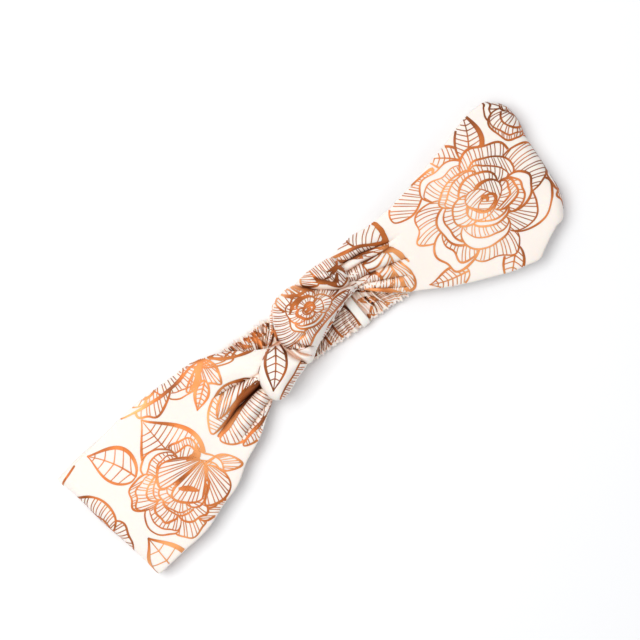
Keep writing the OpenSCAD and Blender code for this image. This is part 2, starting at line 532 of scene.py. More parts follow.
@dataclass(frozen=True)
class Rose:
    """An open rose: rings of large overlapping petals round a furled heart."""

    centre: Point
    reach: Point  # half its width and half its height
    seed: int
    turn: float = 0.0
    lean: Point = (0.0, 0.0)  # shift of the heart, as a share of the reach
    petals: tuple[int, ...] = (6, 5, 4)
    hatch: float = 1.75
    weight: float = 1.0

    def draw(self, art: Drawing) -> None:
        """Draws the petals from the outside in.

        Args:
            art: The drawing to add to.
        """
        random = np.random.default_rng(self.seed)
        rings = len(self.petals)
        swirl = random.choice([-1, 1])
        phase = random.uniform(0, 2 * math.pi)
        for ring, count in enumerate(self.petals):
            outer = 1 - 0.74 * (ring / rings) ** 0.9
            heart = max(0.62 * (1 - 0.74 * ((ring + 1) / rings) ** 0.9), 0.12)
            phase += random.uniform(0.35, 0.65) * 2 * math.pi / count
            shift = np.array(self.lean) * (ring + 1) / rings
            for petal in random.permutation(count):
                middle = phase + 2 * math.pi * (petal + random.uniform(-0.16, 0.16)) / count
                span = random.uniform(1.12, 1.5) * math.pi / count
                rim = outer * random.uniform(0.93, 1.03)
                self._petal(art, random, (middle, span), rim, heart, shift, swirl)
        self._heart(art, random, swirl)

    def _place(self, radius: Array | float, angle: Array | float, shift: Array) -> Array:
        """Points on the cloth.

        Args:
            radius: Radius in the rose's own unit circle.
            angle: Angle in it.
            shift: Shift of the circle.

        Returns:
            The points.
        """
        x = (radius * np.cos(angle) + shift[0]) * self.reach[0]
        y = (radius * np.sin(angle) + shift[1]) * self.reach[1]
        c, s = math.cos(math.radians(self.turn)), math.sin(math.radians(self.turn))
        return np.stack([self.centre[0] + c * x - s * y, self.centre[1] + s * x + c * y], axis=-1)

    def _petal(
        self,
        art: Drawing,
        random: np.random.Generator,
        spread: Point,
        outer: float,
        heart: float,
        shift: Array,
        swirl: int,
    ) -> None:
        """Draws one petal: its rim, often a turned lip, and its hatching.

        Args:
            art: The drawing to add to.
            random: Seeded numbers.
            spread: Angle of the petal's middle, and half of the angle that it spans.
            outer: Radius of its rim.
            heart: Radius at which it goes under the next ring.
            shift: Shift of this ring.
            swirl: Which way the petals lean.
        """
        middle, span = spread
        t = np.linspace(-1, 1, 45)
        a, b = random.uniform(0, 2 * math.pi), random.uniform(0, 2 * math.pi)
        tip = random.uniform(-0.4, 0.4)
        wobble = 1 + 0.03 * np.sin(3.6 * t + a) + 0.02 * np.sin(8 * t + b)
        wobble = wobble + 0.05 * np.exp(-(((t - tip) / 0.22) ** 2))
        radius = heart + (outer * wobble - heart) * (1 - np.abs(t) ** 3) ** 0.45
        angle = middle + span * (t + 0.22 * swirl * (1 - t * t))
        rim = self._place(radius, angle, shift)
        base = self._place(np.full(45, heart * 0.8), angle[::-1], shift)
        art.cover(np.concatenate([rim, base]))
        heavy = 0.72 * self.weight * random.uniform(0.85, 1.5)
        lip = random.uniform(0.1, 0.24) * outer * (random.random() < 0.6)
        blank = random.random() < 0.7
        lean = 1 + 0.7 * t * random.choice([-1, 1])
        start = radius - lip * np.clip(1 - t**2, 0, 1) ** 0.8 * lean
        inner = self._place(start, angle, shift)
        root = self._place(random.uniform(-0.3, 0.1) * heart, middle, shift)
        bow = random.uniform(-0.16, 0.16)
        art.shade(np.concatenate([inner, base]), root, self.hatch, 0.36 * self.weight, bow)
        if lip > 0:
            if not blank:
                far = self._place(outer * 3.0, middle + span * 0.6, shift)
                art.shade(np.concatenate([rim, inner[::-1]]), far, self.hatch * 0.8, 0.34 * self.weight)
            art.line(inner[2:-2], heavy * np.array([0.45, 0.8, 0.95, 0.6]))
        art.line(rim, heavy * np.array([0.5, 0.8, 1.05, 0.85, 1.15, 0.75, 0.5]))

    def _heart(self, art: Drawing, random: np.random.Generator, swirl: int) -> None:
        """Draws the furled petals and the solid curls in the middle of the rose.

        Args:
            art: The drawing to add to.
            random: Seeded numbers.
            swirl: Which way the petals lean.
        """
        facing = random.uniform(0, 2 * math.pi)
        around = np.linspace(0, 2 * math.pi, 40)
        for size, off in ((0.27, 0.0), (0.2, 0.05), (0.12, 0.07)):
            facing += swirl * random.uniform(1.6, 2.4)
            shift = np.array(self.lean) + off * np.array([math.cos(facing), math.sin(facing)])
            loop = self._place(size * (1 + 0.22 * np.cos(2 * (around - facing))), around + facing, shift)
            art.cover(loop)
            far = self._place(1.6, facing + 0.9, np.array(self.lean))
            art.shade(loop, far, self.hatch * 0.9, 0.36 * self.weight, 0.05)
            art.line(loop, self.weight * np.array([0.5, 1.7, 0.9, 0.5, 0.5, 0.6]))
        curl = self._place(np.full(12, 0.05), np.linspace(facing, facing + 3.6, 12), np.array(self.lean))
        art.line(curl, self.weight * np.array([0.5, 1.8, 2.2, 0.8]))


@dataclass(frozen=True)
class Panel:
    """A petal, leaf or fold of the print with a free outline, hatched towards a point."""

    outline: tuple[Point, ...]
    towards: Point
    hatch: float = 1.7
    edge: float = 0.9
    line: float = 0.36
    bow: float = 0.0

    def draw(self, art: Drawing) -> None:
        """Draws the panel over what is there.

        Args:
            art: The drawing to add to.
        """
        edge = closed_curve(self.outline, 14 * len(self.outline))
        art.cover(edge)
        if self.hatch > 0:
            art.shade(edge, np.array(self.towards), self.hatch, self.line, self.bow)
        if self.edge > 0:
            swell = np.array([0.7, 1.1, 0.8, 1.3, 0.75, 1.0, 0.7])
            art.line(np.concatenate([edge, edge[:1]]), self.edge * swell)


@dataclass(frozen=True)
class Leaf:
    """A leaf with one thick edge, a midrib and slanting veins."""

    base: Point
    tip: Point
    width: float
    bend: float = 0.0
    edges: Point = (2.0, 1.2)  # line widths of its left and right edge
    veins: float = 2.7

    def draw(self, art: Drawing) -> None:
        """Draws the leaf over what is there.

        Args:
            art: The drawing to add to.
        """
        base, tip = np.array(self.base), np.array(self.tip)
        length = float(np.linalg.norm(tip - base))
        forward = (tip - base) / length
        left = np.array([-forward[1], forward[0]])

        def spot(along: Array, across: Array) -> Array:
            """Points of the leaf.

            Args:
                along: Share along it.
                across: Place across it, from -1 to 1.

            Returns:
                The points.
            """
            run = np.clip(along, 0, 1)
            half = self.width / 2 * np.clip(np.sin(math.pi * run**0.76), 0, 1) ** (0.7 + 0.5 * run)
            middle = self.bend * 4 * along * (1 - along)
            reach = (across * half + middle)[..., None]
            return base + forward * (along * length)[..., None] + left * reach

        run = np.linspace(0, 1, 33)
        left_edge, right_edge = spot(run, np.ones(33)), spot(run, -np.ones(33))
        art.cover(np.concatenate([left_edge, right_edge[::-1]]))
        swell = np.array([0.45, 0.8, 1.0, 1.05, 0.9, 0.6, 0.35])
        art.line(left_edge, self.edges[0] * swell)
        art.line(right_edge, self.edges[1] * swell)
        art.line(spot(np.linspace(0, 0.96, 20), np.zeros(20)), np.array([0.8, 0.55, 0.35]))
        for start in np.arange(0.1, 0.86, self.veins / length):
            for across in (1.0, -1.0):
                out = np.linspace(0, 1, 9)
                along = start + (0.15 * out + 0.03 * out**2) * (1 - start)
                art.line(spot(along, across * out), np.array([0.5, 0.34]))


@dataclass(frozen=True)
class Sweep:
    """A single swelling stroke of foil through given points."""

    points: tuple[Point, ...]
    width: float

    def draw(self, art: Drawing) -> None:
        """Draws the stroke.

        Args:
            art: The drawing to add to.
        """
        corners = np.array(self.points, float)
        spots = np.linspace(0, len(corners) - 1, 24)
        smooth = [np.interp(spots, np.arange(len(corners)), corners[:, k]) for k in range(2)]
        art.line(np.stack(smooth, axis=1), self.width * np.array([0.35, 0.9, 1.0, 0.8, 0.3]))


Motif = Rose | Leaf | Panel | Sweep


def draw_all(motifs: Sequence[Motif]) -> Drawing:
    """Draws motifs from back to front.

    Args:
        motifs: The motifs, those behind first.

    Returns:
        The drawing.
    """
    art = Drawing()
    for motif in motifs:
        motif.draw(art)
    return art


Placer = Callable[[Array, Array], tuple[Array, Array]]


@dataclass
class FoilPress:
    """Lays a drawing on a skin of cloth, as thin ribbons of foil that follow it."""

    skin: Skin
    place: Placer  # from places on the print to rows and columns of the skin
    raise_by: float = 0.14

    def ribbons(self, name: str, art: Drawing, low: float, high: float) -> bpy.types.Object | None:
        """Makes the foil that lies in a range of rows.

        Args:
            name: Name of the object.
            art: The drawing.
            low: First row.
            high: Last row.

        Returns:
            The object, or None if no line falls there.
        """
        points: list[Array] = []
        faces: list[Array] = []
        count = 0
        last = self.skin.points.shape[1] - 1
        for line, widths in art.lines:
            along = np.gradient(line, axis=0)
            along /= np.maximum(np.linalg.norm(along, axis=1, keepdims=True), 1e-9)
            beside = np.stack([-along[:, 1], along[:, 0]], axis=1)
            rails = 2 if widths.max() < 1.2 else 4
            spread = np.linspace(-0.5, 0.5, rails)
            spots = line[None] + spread[:, None, None] * (widths[:, None] * beside)[None]
            rows, columns = self.place(spots[..., 0], spots[..., 1])
            good = rows >= 0
            if not self.skin.wrap:
                good &= (columns >= 0.3) & (columns <= last - 0.3)
            middle = (rows[:-1, :-1] + rows[1:, 1:]) / 2
            mine = (middle >= low) & (middle < high)
            if not mine.any():
                continue
            spot, normal = self.skin.at(rows, columns)
            good &= np.isfinite(spot).all(axis=-1)
            spot = np.where(good[..., None], spot + normal * self.raise_by, 0.0)
            index = count + np.arange(spot.shape[0] * spot.shape[1]).reshape(spot.shape[:2])
            cell = good[:-1, :-1] & good[1:, :-1] & good[:-1, 1:] & good[1:, 1:]
            jump = np.linalg.norm(np.diff(spot[:-1], axis=1), axis=-1) < 4 * art.SPACING
            cell &= jump & mine
            quads = np.stack([index[:-1, :-1], index[:-1, 1:], index[1:, 1:], index[1:, :-1]], -1)[cell]
            facing = np.cross(spot[1:, 1:] - spot[:-1, :-1], spot[1:, :-1] - spot[:-1, 1:])
            turned = (facing * normal[:-1, :-1]).sum(axis=-1)[cell] < 0
            quads[turned] = quads[turned, ::-1]
            if len(quads):
                points.append(spot.reshape(-1, 3))
                faces.append(quads)
                count += spot.shape[0] * spot.shape[1]
        if not faces:
            return None
        used, quads = np.unique(np.concatenate(faces), return_inverse=True)
        every = np.concatenate(points)
        mesh = bpy.data.meshes.new(name)
        mesh.from_pydata((every[used] * MM).tolist(), [], quads.reshape(-1, 4).tolist())
        mesh.polygons.foreach_set("use_smooth", [True] * len(mesh.polygons))
        return placed(name, mesh)


# ---------------------------------------------------------------------------
# Finishes
# ---------------------------------------------------------------------------


def colour(code: str) -> tuple[float, float, float, float]:
    """An sRGB hex colour as linear values.

    Args:
        code: Six hex digits.

    Returns:
        Red, green, blue and alpha.
    """
    channels = [int(code[i : i + 2], 16) / 255 for i in (0, 2, 4)]
    linear = [c / 12.92 if c <= 0.04045 else ((c + 0.055) / 1.055) ** 2.4 for c in channels]
    return (linear[0], linear[1], linear[2], 1.0)


def add_node(
    tree: bpy.types.NodeTree, kind: str, inputs: dict | None = None, **settings: object
) -> bpy.types.Node:
    """Adds a shader node with its settings and links.

    Args:
        tree: The node tree.
        kind: The node's type, without the ShaderNode at its front.
        inputs: Values or output sockets, by input name or number.
        **settings: Properties of the node.

    Returns:
        The node.
    """
    node = tree.nodes.new(f"ShaderNode{kind}")
    for name, value in settings.items():
        setattr(node, name, value)
    for socket, value in (inputs or {}).items():
        if isinstance(value, bpy.types.NodeSocket):
            tree.links.new(value, node.inputs[socket])
        else:
            node.inputs[socket].default_value = value
    return node


@dataclass(frozen=True)
class Finish:
    """A finish: nodes that end in one shader."""

    name: str

    def surface(self, tree: bpy.types.NodeTree) -> bpy.types.Node:
        """Adds the finish's nodes to a tree and returns its shader."""
        raise NotImplementedError

    def make(self) -> bpy.types.Material:
        """Makes the material.

        Returns:
            The material.
        """
        material = bpy.data.materials.new(self.name)
        material.use_nodes = True
        tree = material.node_tree
        tree.nodes.clear()
        output = add_node(tree, "OutputMaterial")
        tree.links.new(self.surface(tree).outputs[0], output.inputs[0])
        return material


@dataclass(frozen=True)
class Cotton(Finish):
    """Bleached cotton, plain-woven: matt and a little fuzzy, so that folds shade softly and never shine.

    Some light passes into the cloth. Its threads show as a faint grid, and folds close to other cloth get a
    painted warm shade.
    """

    name: str = "woven_cotton"
    light: str = "FBF5EE"
    shade: str = "F7ECE2"
    # painted shade: folds close to other cloth are mixed towards this warm colour
    crease: str = "DAA47E"
    thread: float = 0.55  # drawn coarser than its 0.3 mm threads, so that the weave can show
    roughness: float = 0.88
    bump: float = 0.25
    pattern: bool = True  # the piece has a map of the flat cloth

    def surface(self, tree: bpy.types.NodeTree) -> bpy.types.Node:
        """Adds the weave, the uneven white and the painted warm shade in folds.

        Args:
            tree: The node tree.

        Returns:
            The shader.
        """
        where = add_node(tree, "TexCoord").outputs
        number = 2 * math.pi / (self.thread * MM)
        split = add_node(tree, "SeparateXYZ", {0: where["UV" if self.pattern else "Object"]})
        threads = []
        for axis in ("X", "Y"):
            scaled = add_node(tree, "Math", {0: split.outputs[axis], 1: number}, operation="MULTIPLY")
            threads.append(add_node(tree, "Math", {0: scaled.outputs[0]}, operation="SINE").outputs[0])
        weave = add_node(tree, "Math", {0: threads[0], 1: threads[1]}, operation="MULTIPLY")
        slub = add_node(tree, "TexNoise", {"Vector": where["Object"], "Scale": 160.0, "Detail": 4.0})
        relief = {0: weave.outputs[0], 1: 0.35, 2: slub.outputs[0]}
        mix = add_node(tree, "Math", relief, operation="MULTIPLY_ADD")
        height = {"Strength": self.bump, "Distance": 0.12 * MM, "Height": mix.outputs[0]}
        bump = add_node(tree, "Bump", height)
        cloudy = add_node(tree, "TexNoise", {"Vector": where["Object"], "Scale": 28.0, "Detail": 2.0})
        whites = {0: cloudy.outputs[0], 6: colour(self.light), 7: colour(self.shade)}
        tint = add_node(tree, "Mix", whites, data_type="RGBA")
        # Painted shade: where other cloth is near, the white is mixed towards the warm fold colour.
        painted_shade_ao = add_node(
            tree, "AmbientOcclusion", {"Distance": PAINTED_SHADE_REACH * MM, "Color": tint.outputs[2]}, samples=8
        )
        open_air = {"Value": painted_shade_ao.outputs["AO"], "From Min": 0.1, "From Max": 0.85}
        depth = add_node(tree, "MapRange", open_air)
        warmth = {0: depth.outputs[0], 6: colour(self.crease), 7: tint.outputs[2]}
        warm = add_node(tree, "Mix", warmth, data_type="RGBA")
        rough = add_node(
            tree, "MapRange", {"Value": slub.outputs[0], "To Min": self.roughness - 0.06, "To Max": 0.95}
        )
        cloth = {"Base Color": warm.outputs[2], "Roughness": rough.outputs[0], "Normal": bump.outputs[0]}
        cloth.update({"Sheen Weight": 0.15, "Sheen Roughness": 0.5})
        cloth.update({"Subsurface Weight": 0.12, "Subsurface Scale": 0.002})
        return add_node(tree, "BsdfPrincipled", cloth)


@dataclass(frozen=True)
class RoseGoldFoil(Finish):
    """Hot-pressed rose-gold foil: a thin metal film that shines as the cloth turns, with painted glints and
    dim painted reflections in large random areas.

    The weave under it breaks the gloss up, and in folds near other cloth it has a painted shade of brown.
    """

    name: str = "rose_gold_foil"
    # Painted reflections: the first colour is a dim reflection and the light one a glint, mixed over the
    # body colour in large random areas. The last colour is a painted shade for folds.
    dark: str = "8A481C"
    body: str = "C86E2E"
    light: str = "F0A264"
    deep: str = "3C1206"
    metallic: float = 0.5

    def surface(self, tree: bpy.types.NodeTree) -> bpy.types.Node:
        """Adds the painted glints and dim painted reflections, the painted shade in folds and the broken
        gloss.

        Args:
            tree: The node tree.

        Returns:
            The shader.
        """
        where = add_node(tree, "TexCoord").outputs["Object"]
        # Painted glints and dim painted reflections: large-scale noise mixes the foil's colours.
        glint_patches = {"Vector": where, "Scale": 38.0, "Detail": 2.0, "Roughness": 0.6}
        glint_noise = add_node(tree, "TexNoise", glint_patches)
        ramp = add_node(tree, "ValToRGB", {0: glint_noise.outputs[0]})
        stops = ramp.color_ramp.elements
        stops[0].position, stops[0].color = 0.36, colour(self.dark)
        stops[1].position, stops[1].color = 0.66, colour(self.light)
        stops.new(0.5).color = colour(self.body)
        # Painted shade: near other cloth the foil is mixed towards a near-black brown.
        painted_shade_ao = add_node(tree, "AmbientOcclusion", {"Distance": PAINTED_SHADE_REACH * MM}, samples=8)
        open_air = {"Value": painted_shade_ao.outputs["AO"], "From Min": 0.25, "From Max": 0.95}
        depth = add_node(tree, "MapRange", open_air)
        fold_shading = {0: depth.outputs[0], 6: colour(self.deep), 7: ramp.outputs[0]}
        tint = add_node(tree, "Mix", fold_shading, data_type="RGBA")
        grain = add_node(tree, "TexNoise", {"Vector": where, "Scale": 1800.0, "Detail": 3.0})
        bump = add_node(tree, "Bump", {"Strength": 0.3, "Distance": 0.08 * MM, "Height": grain.outputs[0]})
        rough = add_node(tree, "MapRange", {"Value": grain.outputs[0], "To Min": 0.36, "To Max": 0.6})
        film = {"Base Color": tint.outputs[2], "Roughness": rough.outputs[0], "Normal": bump.outputs[0]}
        return add_node(tree, "BsdfPrincipled", {**film, "Metallic": self.metallic})


@dataclass(frozen=True)
class KnittedElastic(Finish):
    """Knitted elastic: lengthwise ribs of white yarn over rubber cores, dull and evenly striped."""

    name: str = "knitted_elastic"
    rib: float = 1.5

    def surface(self, tree: bpy.types.NodeTree) -> bpy.types.Node:
        """Adds the ribs and the yarn.

        Args:
            tree: The node tree.

        Returns:
            The shader.
        """
        where = add_node(tree, "TexCoord").outputs["Object"]
        across = add_node(tree, "SeparateXYZ", {0: where}).outputs["Y"]
        scaled = add_node(tree, "Math", {0: across, 1: 2 * math.pi / (self.rib * MM)}, operation="MULTIPLY")
        ribs = add_node(tree, "Math", {0: scaled.outputs[0]}, operation="SINE")
        bump = add_node(tree, "Bump", {"Strength": 0.6, "Distance": 0.3 * MM, "Height": ribs.outputs[0]})
        yarn = add_node(tree, "TexNoise", {"Vector": where, "Scale": 900.0})
        whites = {0: yarn.outputs[0], 6: colour("F7F6F2"), 7: colour("E2E0DA")}
        tint = add_node(tree, "Mix", whites, data_type="RGBA")
        knit = {"Base Color": tint.outputs[2], "Roughness": 0.7, "Normal": bump.outputs[0]}
        return add_node(tree, "BsdfPrincipled", knit)


@dataclass(frozen=True)
class SewingThread(Finish):
    """Spun polyester thread: white, twisted, with a soft shine along each stitch."""

    name: str = "sewing_thread"

    def surface(self, tree: bpy.types.NodeTree) -> bpy.types.Node:
        """Adds the twist.

        Args:
            tree: The node tree.

        Returns:
            The shader.
        """
        where = add_node(tree, "TexCoord").outputs["Object"]
        twist = add_node(tree, "TexWave", {"Vector": where, "Scale": 900.0, "Distortion": 1.0})
        whites = {0: twist.outputs[1], 6: colour("FFFDF8"), 7: colour("E9E4DA")}
        tint = add_node(tree, "Mix", whites, data_type="RGBA")
        bump = add_node(tree, "Bump", {"Strength": 0.4, "Distance": 0.05 * MM, "Height": twist.outputs[1]})
        spun = {"Base Color": tint.outputs[2], "Roughness": 0.5, "Normal": bump.outputs[0]}
        return add_node(tree, "BsdfPrincipled", spun)


@dataclass(frozen=True)
class StudioPaper(Finish):
    """Matt white paper: it takes a soft shadow and reflects nothing."""

    name: str = "pale_paper"

    def surface(self, tree: bpy.types.NodeTree) -> bpy.types.Node:
        """Adds the plain shader and returns it."""
        paper = {"Base Color": colour("FAFBFC"), "Roughness": 0.95, "Specular IOR Level": 0.1}
        return add_node(tree, "BsdfPrincipled", paper)


# ---------------------------------------------------------------------------
# Frame sizes
# ---------------------------------------------------------------------------


def node_box(node: str) -> tuple[Array, Array]:
    """A CAD node's lowest and highest corner, in millimetres.

    Args:
        node: The node's name.

    Returns:
        Both corners.
    """
    low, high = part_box(node)
    return np.array(low) / MM, np.array(high) / MM


def top_of(node: str) -> float:
    """Height of a CAD node's top, in millimetres."""
    return node_box(node)[1][2]


@dataclass
class Workshop:
    """Finishes and the steps that every piece goes through."""

    cotton: bpy.types.Material = field(init=False)
    plain_cotton: bpy.types.Material = field(init=False)
    foil: bpy.types.Material = field(init=False)
    elastic: bpy.types.Material = field(init=False)
    thread: bpy.types.Material = field(init=False)

    def __post_init__(self) -> None:
        """Makes the finishes."""
        self.cotton = Cotton().make()
        self.plain_cotton = Cotton("plain_cotton", light="FBF7F1", shade="F5EEE6", pattern=False).make()
        self.foil = RoseGoldFoil().make()
        self.elastic = KnittedElastic().make()
        self.thread = SewingThread().make()

    def dress(self, piece: bpy.types.Object, material: bpy.types.Material, slot: str) -> None:
        """Gives a piece its finish, and reports it.

        Args:
            piece: The piece.
            material: Its material.
            slot: Not used.
        """
        piece.data.materials.clear()
        piece.data.materials.append(material)
        LOG.info("%s: %d faces", piece.name, len(piece.data.polygons))


# ---------------------------------------------------------------------------
# Bands
# ---------------------------------------------------------------------------


@dataclass
class Band:
    """One printed band: a flattened tube from the knot, round the end fold and back to its hem."""

    side: Side
    upper: tuple[Point, ...]
    lower: tuple[Point, ...]
    end: tuple[Point, ...]  # X of the end for shares across the band, 0 at its lower edge
    back_upper: tuple[Point, ...]
    back_lower: tuple[Point, ...]
    neck_x: float
    folds: tuple[Fold, ...]
    outer_print: tuple[Motif, ...]
    inner_print: tuple[Motif, ...]
    neck_print: tuple[Motif, ...]  # drawn as it lies gathered, in plan
    shop: Workshop
    cloth_width: float = 62.0
    thickness: float = 2.2
    front_rows: int = 150
    fold_rows: int = 22
    back_rows: int = 84
    columns: int = 121
    seam_reach: int = 6  # columns that a seam allowance takes on each side of the seam
    seam_half: float = 0.2  # half its thickness
    gathers: int = 11  # pleats across the cloth at the hem
    front_share: float = 0.78  # where the front piece ends, as a share of the front rows
    back_share: float = 0.42  # where the end piece ends, as a share of the back rows
    seed: int = 1

    def __post_init__(self) -> None:
        """Takes heights from the frame and lays out the cloth."""
        low, high = node_box(f"{self.side.word}_front_band")
        back_low, back_high = node_box(f"{self.side.word}_back_band")
        self.front_z = (low[2] + high[2]) / 2
        self.back_z = (back_low[2] + back_high[2]) / 2
        self.turn_radius = (self.front_z - self.back_z) / 2
        hem_low, hem_high = node_box(f"{self.side.word}_gathered_end")
        self.hem_x = hem_high[0] if self.side is Side.LEFT else hem_low[0]
        self.rows = self.front_rows + self.fold_rows + self.back_rows
        self._lay_out()

    # Plan ------------------------------------------------------------------

    def _fold_x(self, share: Array) -> Array:
        """X of the middle of the end fold, for shares across the band."""
        tip = curve_through(self.end, share)
        return tip - self.side.value * (self.turn_radius + self.thickness / 2)

    def _edges(self, x: Array, back: bool) -> tuple[Array, Array]:
        """Y of the lower and upper edge.

        Args:
            x: Places along the band.
            back: Whether the back layer is meant.

        Returns:
            Both edges.
        """
        if back:
            return curve_through(self.back_lower, x), curve_through(self.back_upper, x)
        return curve_through(self.lower, x), curve_through(self.upper, x)

    def _cloth_span(self, x: Array, back: bool) -> tuple[Array, Array]:
        """Middle and width of the unpleated cloth.

        Args:
            x: Places along the band.
            back: Whether the back layer is meant.

        Returns:
            Middle and width at each place.
        """
        low, high = self._edges(x, back)
        width = high - low
        if back:
            width = np.maximum(width, self.cloth_width)
        else:
            gathered = step(np.abs(x), 62.0, 34.0)
            width = width + (0.92 * self.cloth_width - width) * gathered * 0.8
        return (low + high) / 2, np.maximum(width, 1.0)

    def _back_length(self, share: Array) -> Array:
        """Length of the back layer along a column."""
        return np.abs(self._fold_x(share) - self.hem_x)

    def place(self, p: Array, q: Array) -> tuple[Array, Array]:
        """Rows and columns for places on the print.

        Args:
            p: Along the cloth: X on the front layer, running on past the fold.
            q: Across the cloth: Y where it lies flat.

        Returns:
            Rows and columns.
        """
        middle, width = self._cloth_span(p, False)
        share = 0.5 + (q - middle) / width
        arc = math.pi * self.turn_radius
        for _ in range(3):
            fold_x = self._fold_x(np.clip(share, 0, 1))
            past = self.side.value * (p - fold_x)
            back_x = fold_x - self.side.value * np.maximum(past - arc, 0)
            middle, width = self._cloth_span(np.where(past > 0, fold_x, p), False)
            back_middle, back_width = self._cloth_span(back_x, True)
            turned = step(past, 0.0, arc)
            middle = middle + (back_middle - middle) * turned
            width = width + (back_width - width) * turned
            share = 0.5 + (q - middle) / width
        front = self.front_rows * (p - self.neck_x) / (fold_x - self.neck_x)
        fold = self.front_rows + self.fold_rows * past / arc
        length = self._back_length(np.clip(share, 0, 1))
        back = self.front_rows + self.fold_rows + self.back_rows * (past - arc) / length
        rows = np.where(past <= 0, front, np.where(past <= arc, fold, back))
        return rows, share * (self.columns - 1)

    def place_in_plan(self, p: Array, q: Array) -> tuple[Array, Array]:
        """Rows and columns for places in plan, on the front layer.

        Args:
            p: X.
            q: Y.

        Returns:
            Rows and columns.
        """
        low, high = self._edges(p, False)
        share = (q - low) / (high - low)
        fold_x = self._fold_x(np.clip(share, 0, 1))
        return self.front_rows * (p - self.neck_x) / (fold_x - self.neck_x), share * (self.columns - 1)

    # Shape -----------------------------------------------------------------

    def _lay_out(self) -> None:
        """Builds the middle surface, both skins and the tube."""
        share = np.linspace(0, 1, self.columns)[None, :]
        fold_x = self._fold_x(share)
        sign = self.side.value

        run = np.linspace(0, 1, self.front_rows + 1)[:, None]
        x = self.neck_x + run * (fold_x - self.neck_x)
        low, high = self._edges(x, False)
        front = np.stack([x, low + share * (high - low), np.full_like(x, self.front_z)], axis=-1)
        self._shape_front(front, share)

        turn = np.linspace(0, math.pi, self.fold_rows + 1)[1:, None]
        back_low, back_high = self._edges(fold_x, True)
        start_y = low[-1] + share * (high[-1] - low[-1])
        end_y = back_low + share * (back_high - back_low)
        bulge = 0.35 * waves(share * 62, turn * 4, 22.0, self.seed + 7)
        x = fold_x + sign * (self.turn_radius + bulge) * np.sin(turn)
        y = start_y + (end_y - start_y) * step(turn, 0.6, math.pi)
        z = self.back_z + self.turn_radius * (1 + np.cos(turn)) + 0 * share
        lift = front[-1, :, 2] - self.front_z
        z = z + lift * step(turn, math.pi * 0.6, 0.0)
        fold = np.stack([x, y, z], axis=-1)

        run = np.linspace(0, 1, self.back_rows + 1)[1:, None]
        x = fold_x + run * (self.hem_x - fold_x)
        low, high = self._edges(x, True)
        back = np.stack([x, low + share * (high - low), np.full_like(x, self.back_z)], axis=-1)
        self._shape_back(back, share)

        middle = np.concatenate([front, fold, back])
        normals = grid_normals(middle) * sign
        half = self.thickness / 2 * (1 - np.abs(2 * share - 1) ** 14) ** 0.5
        half = half * np.ones((self.rows + 1, 1))
        crown = 1 + 0.25 * waves(middle[..., 0], middle[..., 1], 30.0, self.seed + 3)
        half = half * crown
        half[0] = half[-1] = 0.0
        self.middle, self.normals = middle, normals
        offset = normals * half[..., None]
        outer_points, inner_points = middle + offset, middle - offset
        self.outer = Skin(outer_points, grid_normals(outer_points) * sign)
        self.inner = Skin(inner_points, grid_normals(inner_points) * -sign)

        centre = self.columns // 2
        along = np.concatenate([[0], np.cumsum(np.linalg.norm(np.diff(middle[:, centre], axis=0), axis=1))])
        pattern = np.stack(
            [along[:, None] + 0 * share, self.cloth_width * share + 0 * along[:, None]], axis=-1
        )
        self.tube = tube_mesh(self.outer, self.inner, pattern, (0, self.rows))
        self.tube.face_along(PROBE_ROW * self.columns + centre, self.outer.normals[PROBE_ROW, centre])

    def _shape_front(self, points: Array, share: Array) -> None:
        """Pleats the front layer towards the knot, and lets it lie a little unevenly.

        Args:
            points: Points of the front layer, changed in place.
            share: Share across the band of each column.
        """
        x, y = points[..., 0].copy(), points[..., 1].copy()
        near = step(np.abs(x), 66.0, 30.0)
        crown = 1 - np.abs(2 * share - 1) ** 2.2
        points[..., 2] += crown * (0.5 + 2.4 * near) - 0.4 * near
        wander = 0.3 * waves(x, y, 34.0, self.seed)
        points[..., 2] += wander + 0.45 * near * waves(x * 0.5, y, 9.0, self.seed + 1)
        for fold in self.folds:
            fold.press(points)

    def _shape_back(self, points: Array, share: Array) -> None:
        """Gathers the back layer into small pleats at the hem.

        Args:
            points: Points of the back layer, changed in place.
            share: Share across the band of each column.
        """
        x = points[..., 0]
        near = step(np.abs(x), 98.0, 62.0)
        phase = 0.9 * np.sin(7 * share + self.seed) + 0.35 * waves(x, share * 60, 26.0, self.seed + 9)
        pleats = np.sin(2 * math.pi * self.gathers * share + phase)
        edge = np.clip(np.minimum(share, 1 - share) * 14, 0, 1)
        points[..., 2] += 0.95 * near * pleats * edge + 0.35 * near
        points[..., 2] += 0.16 * waves(x, points[..., 1], 30.0, self.seed + 2)

    # Pieces ----------------------------------------------------------------

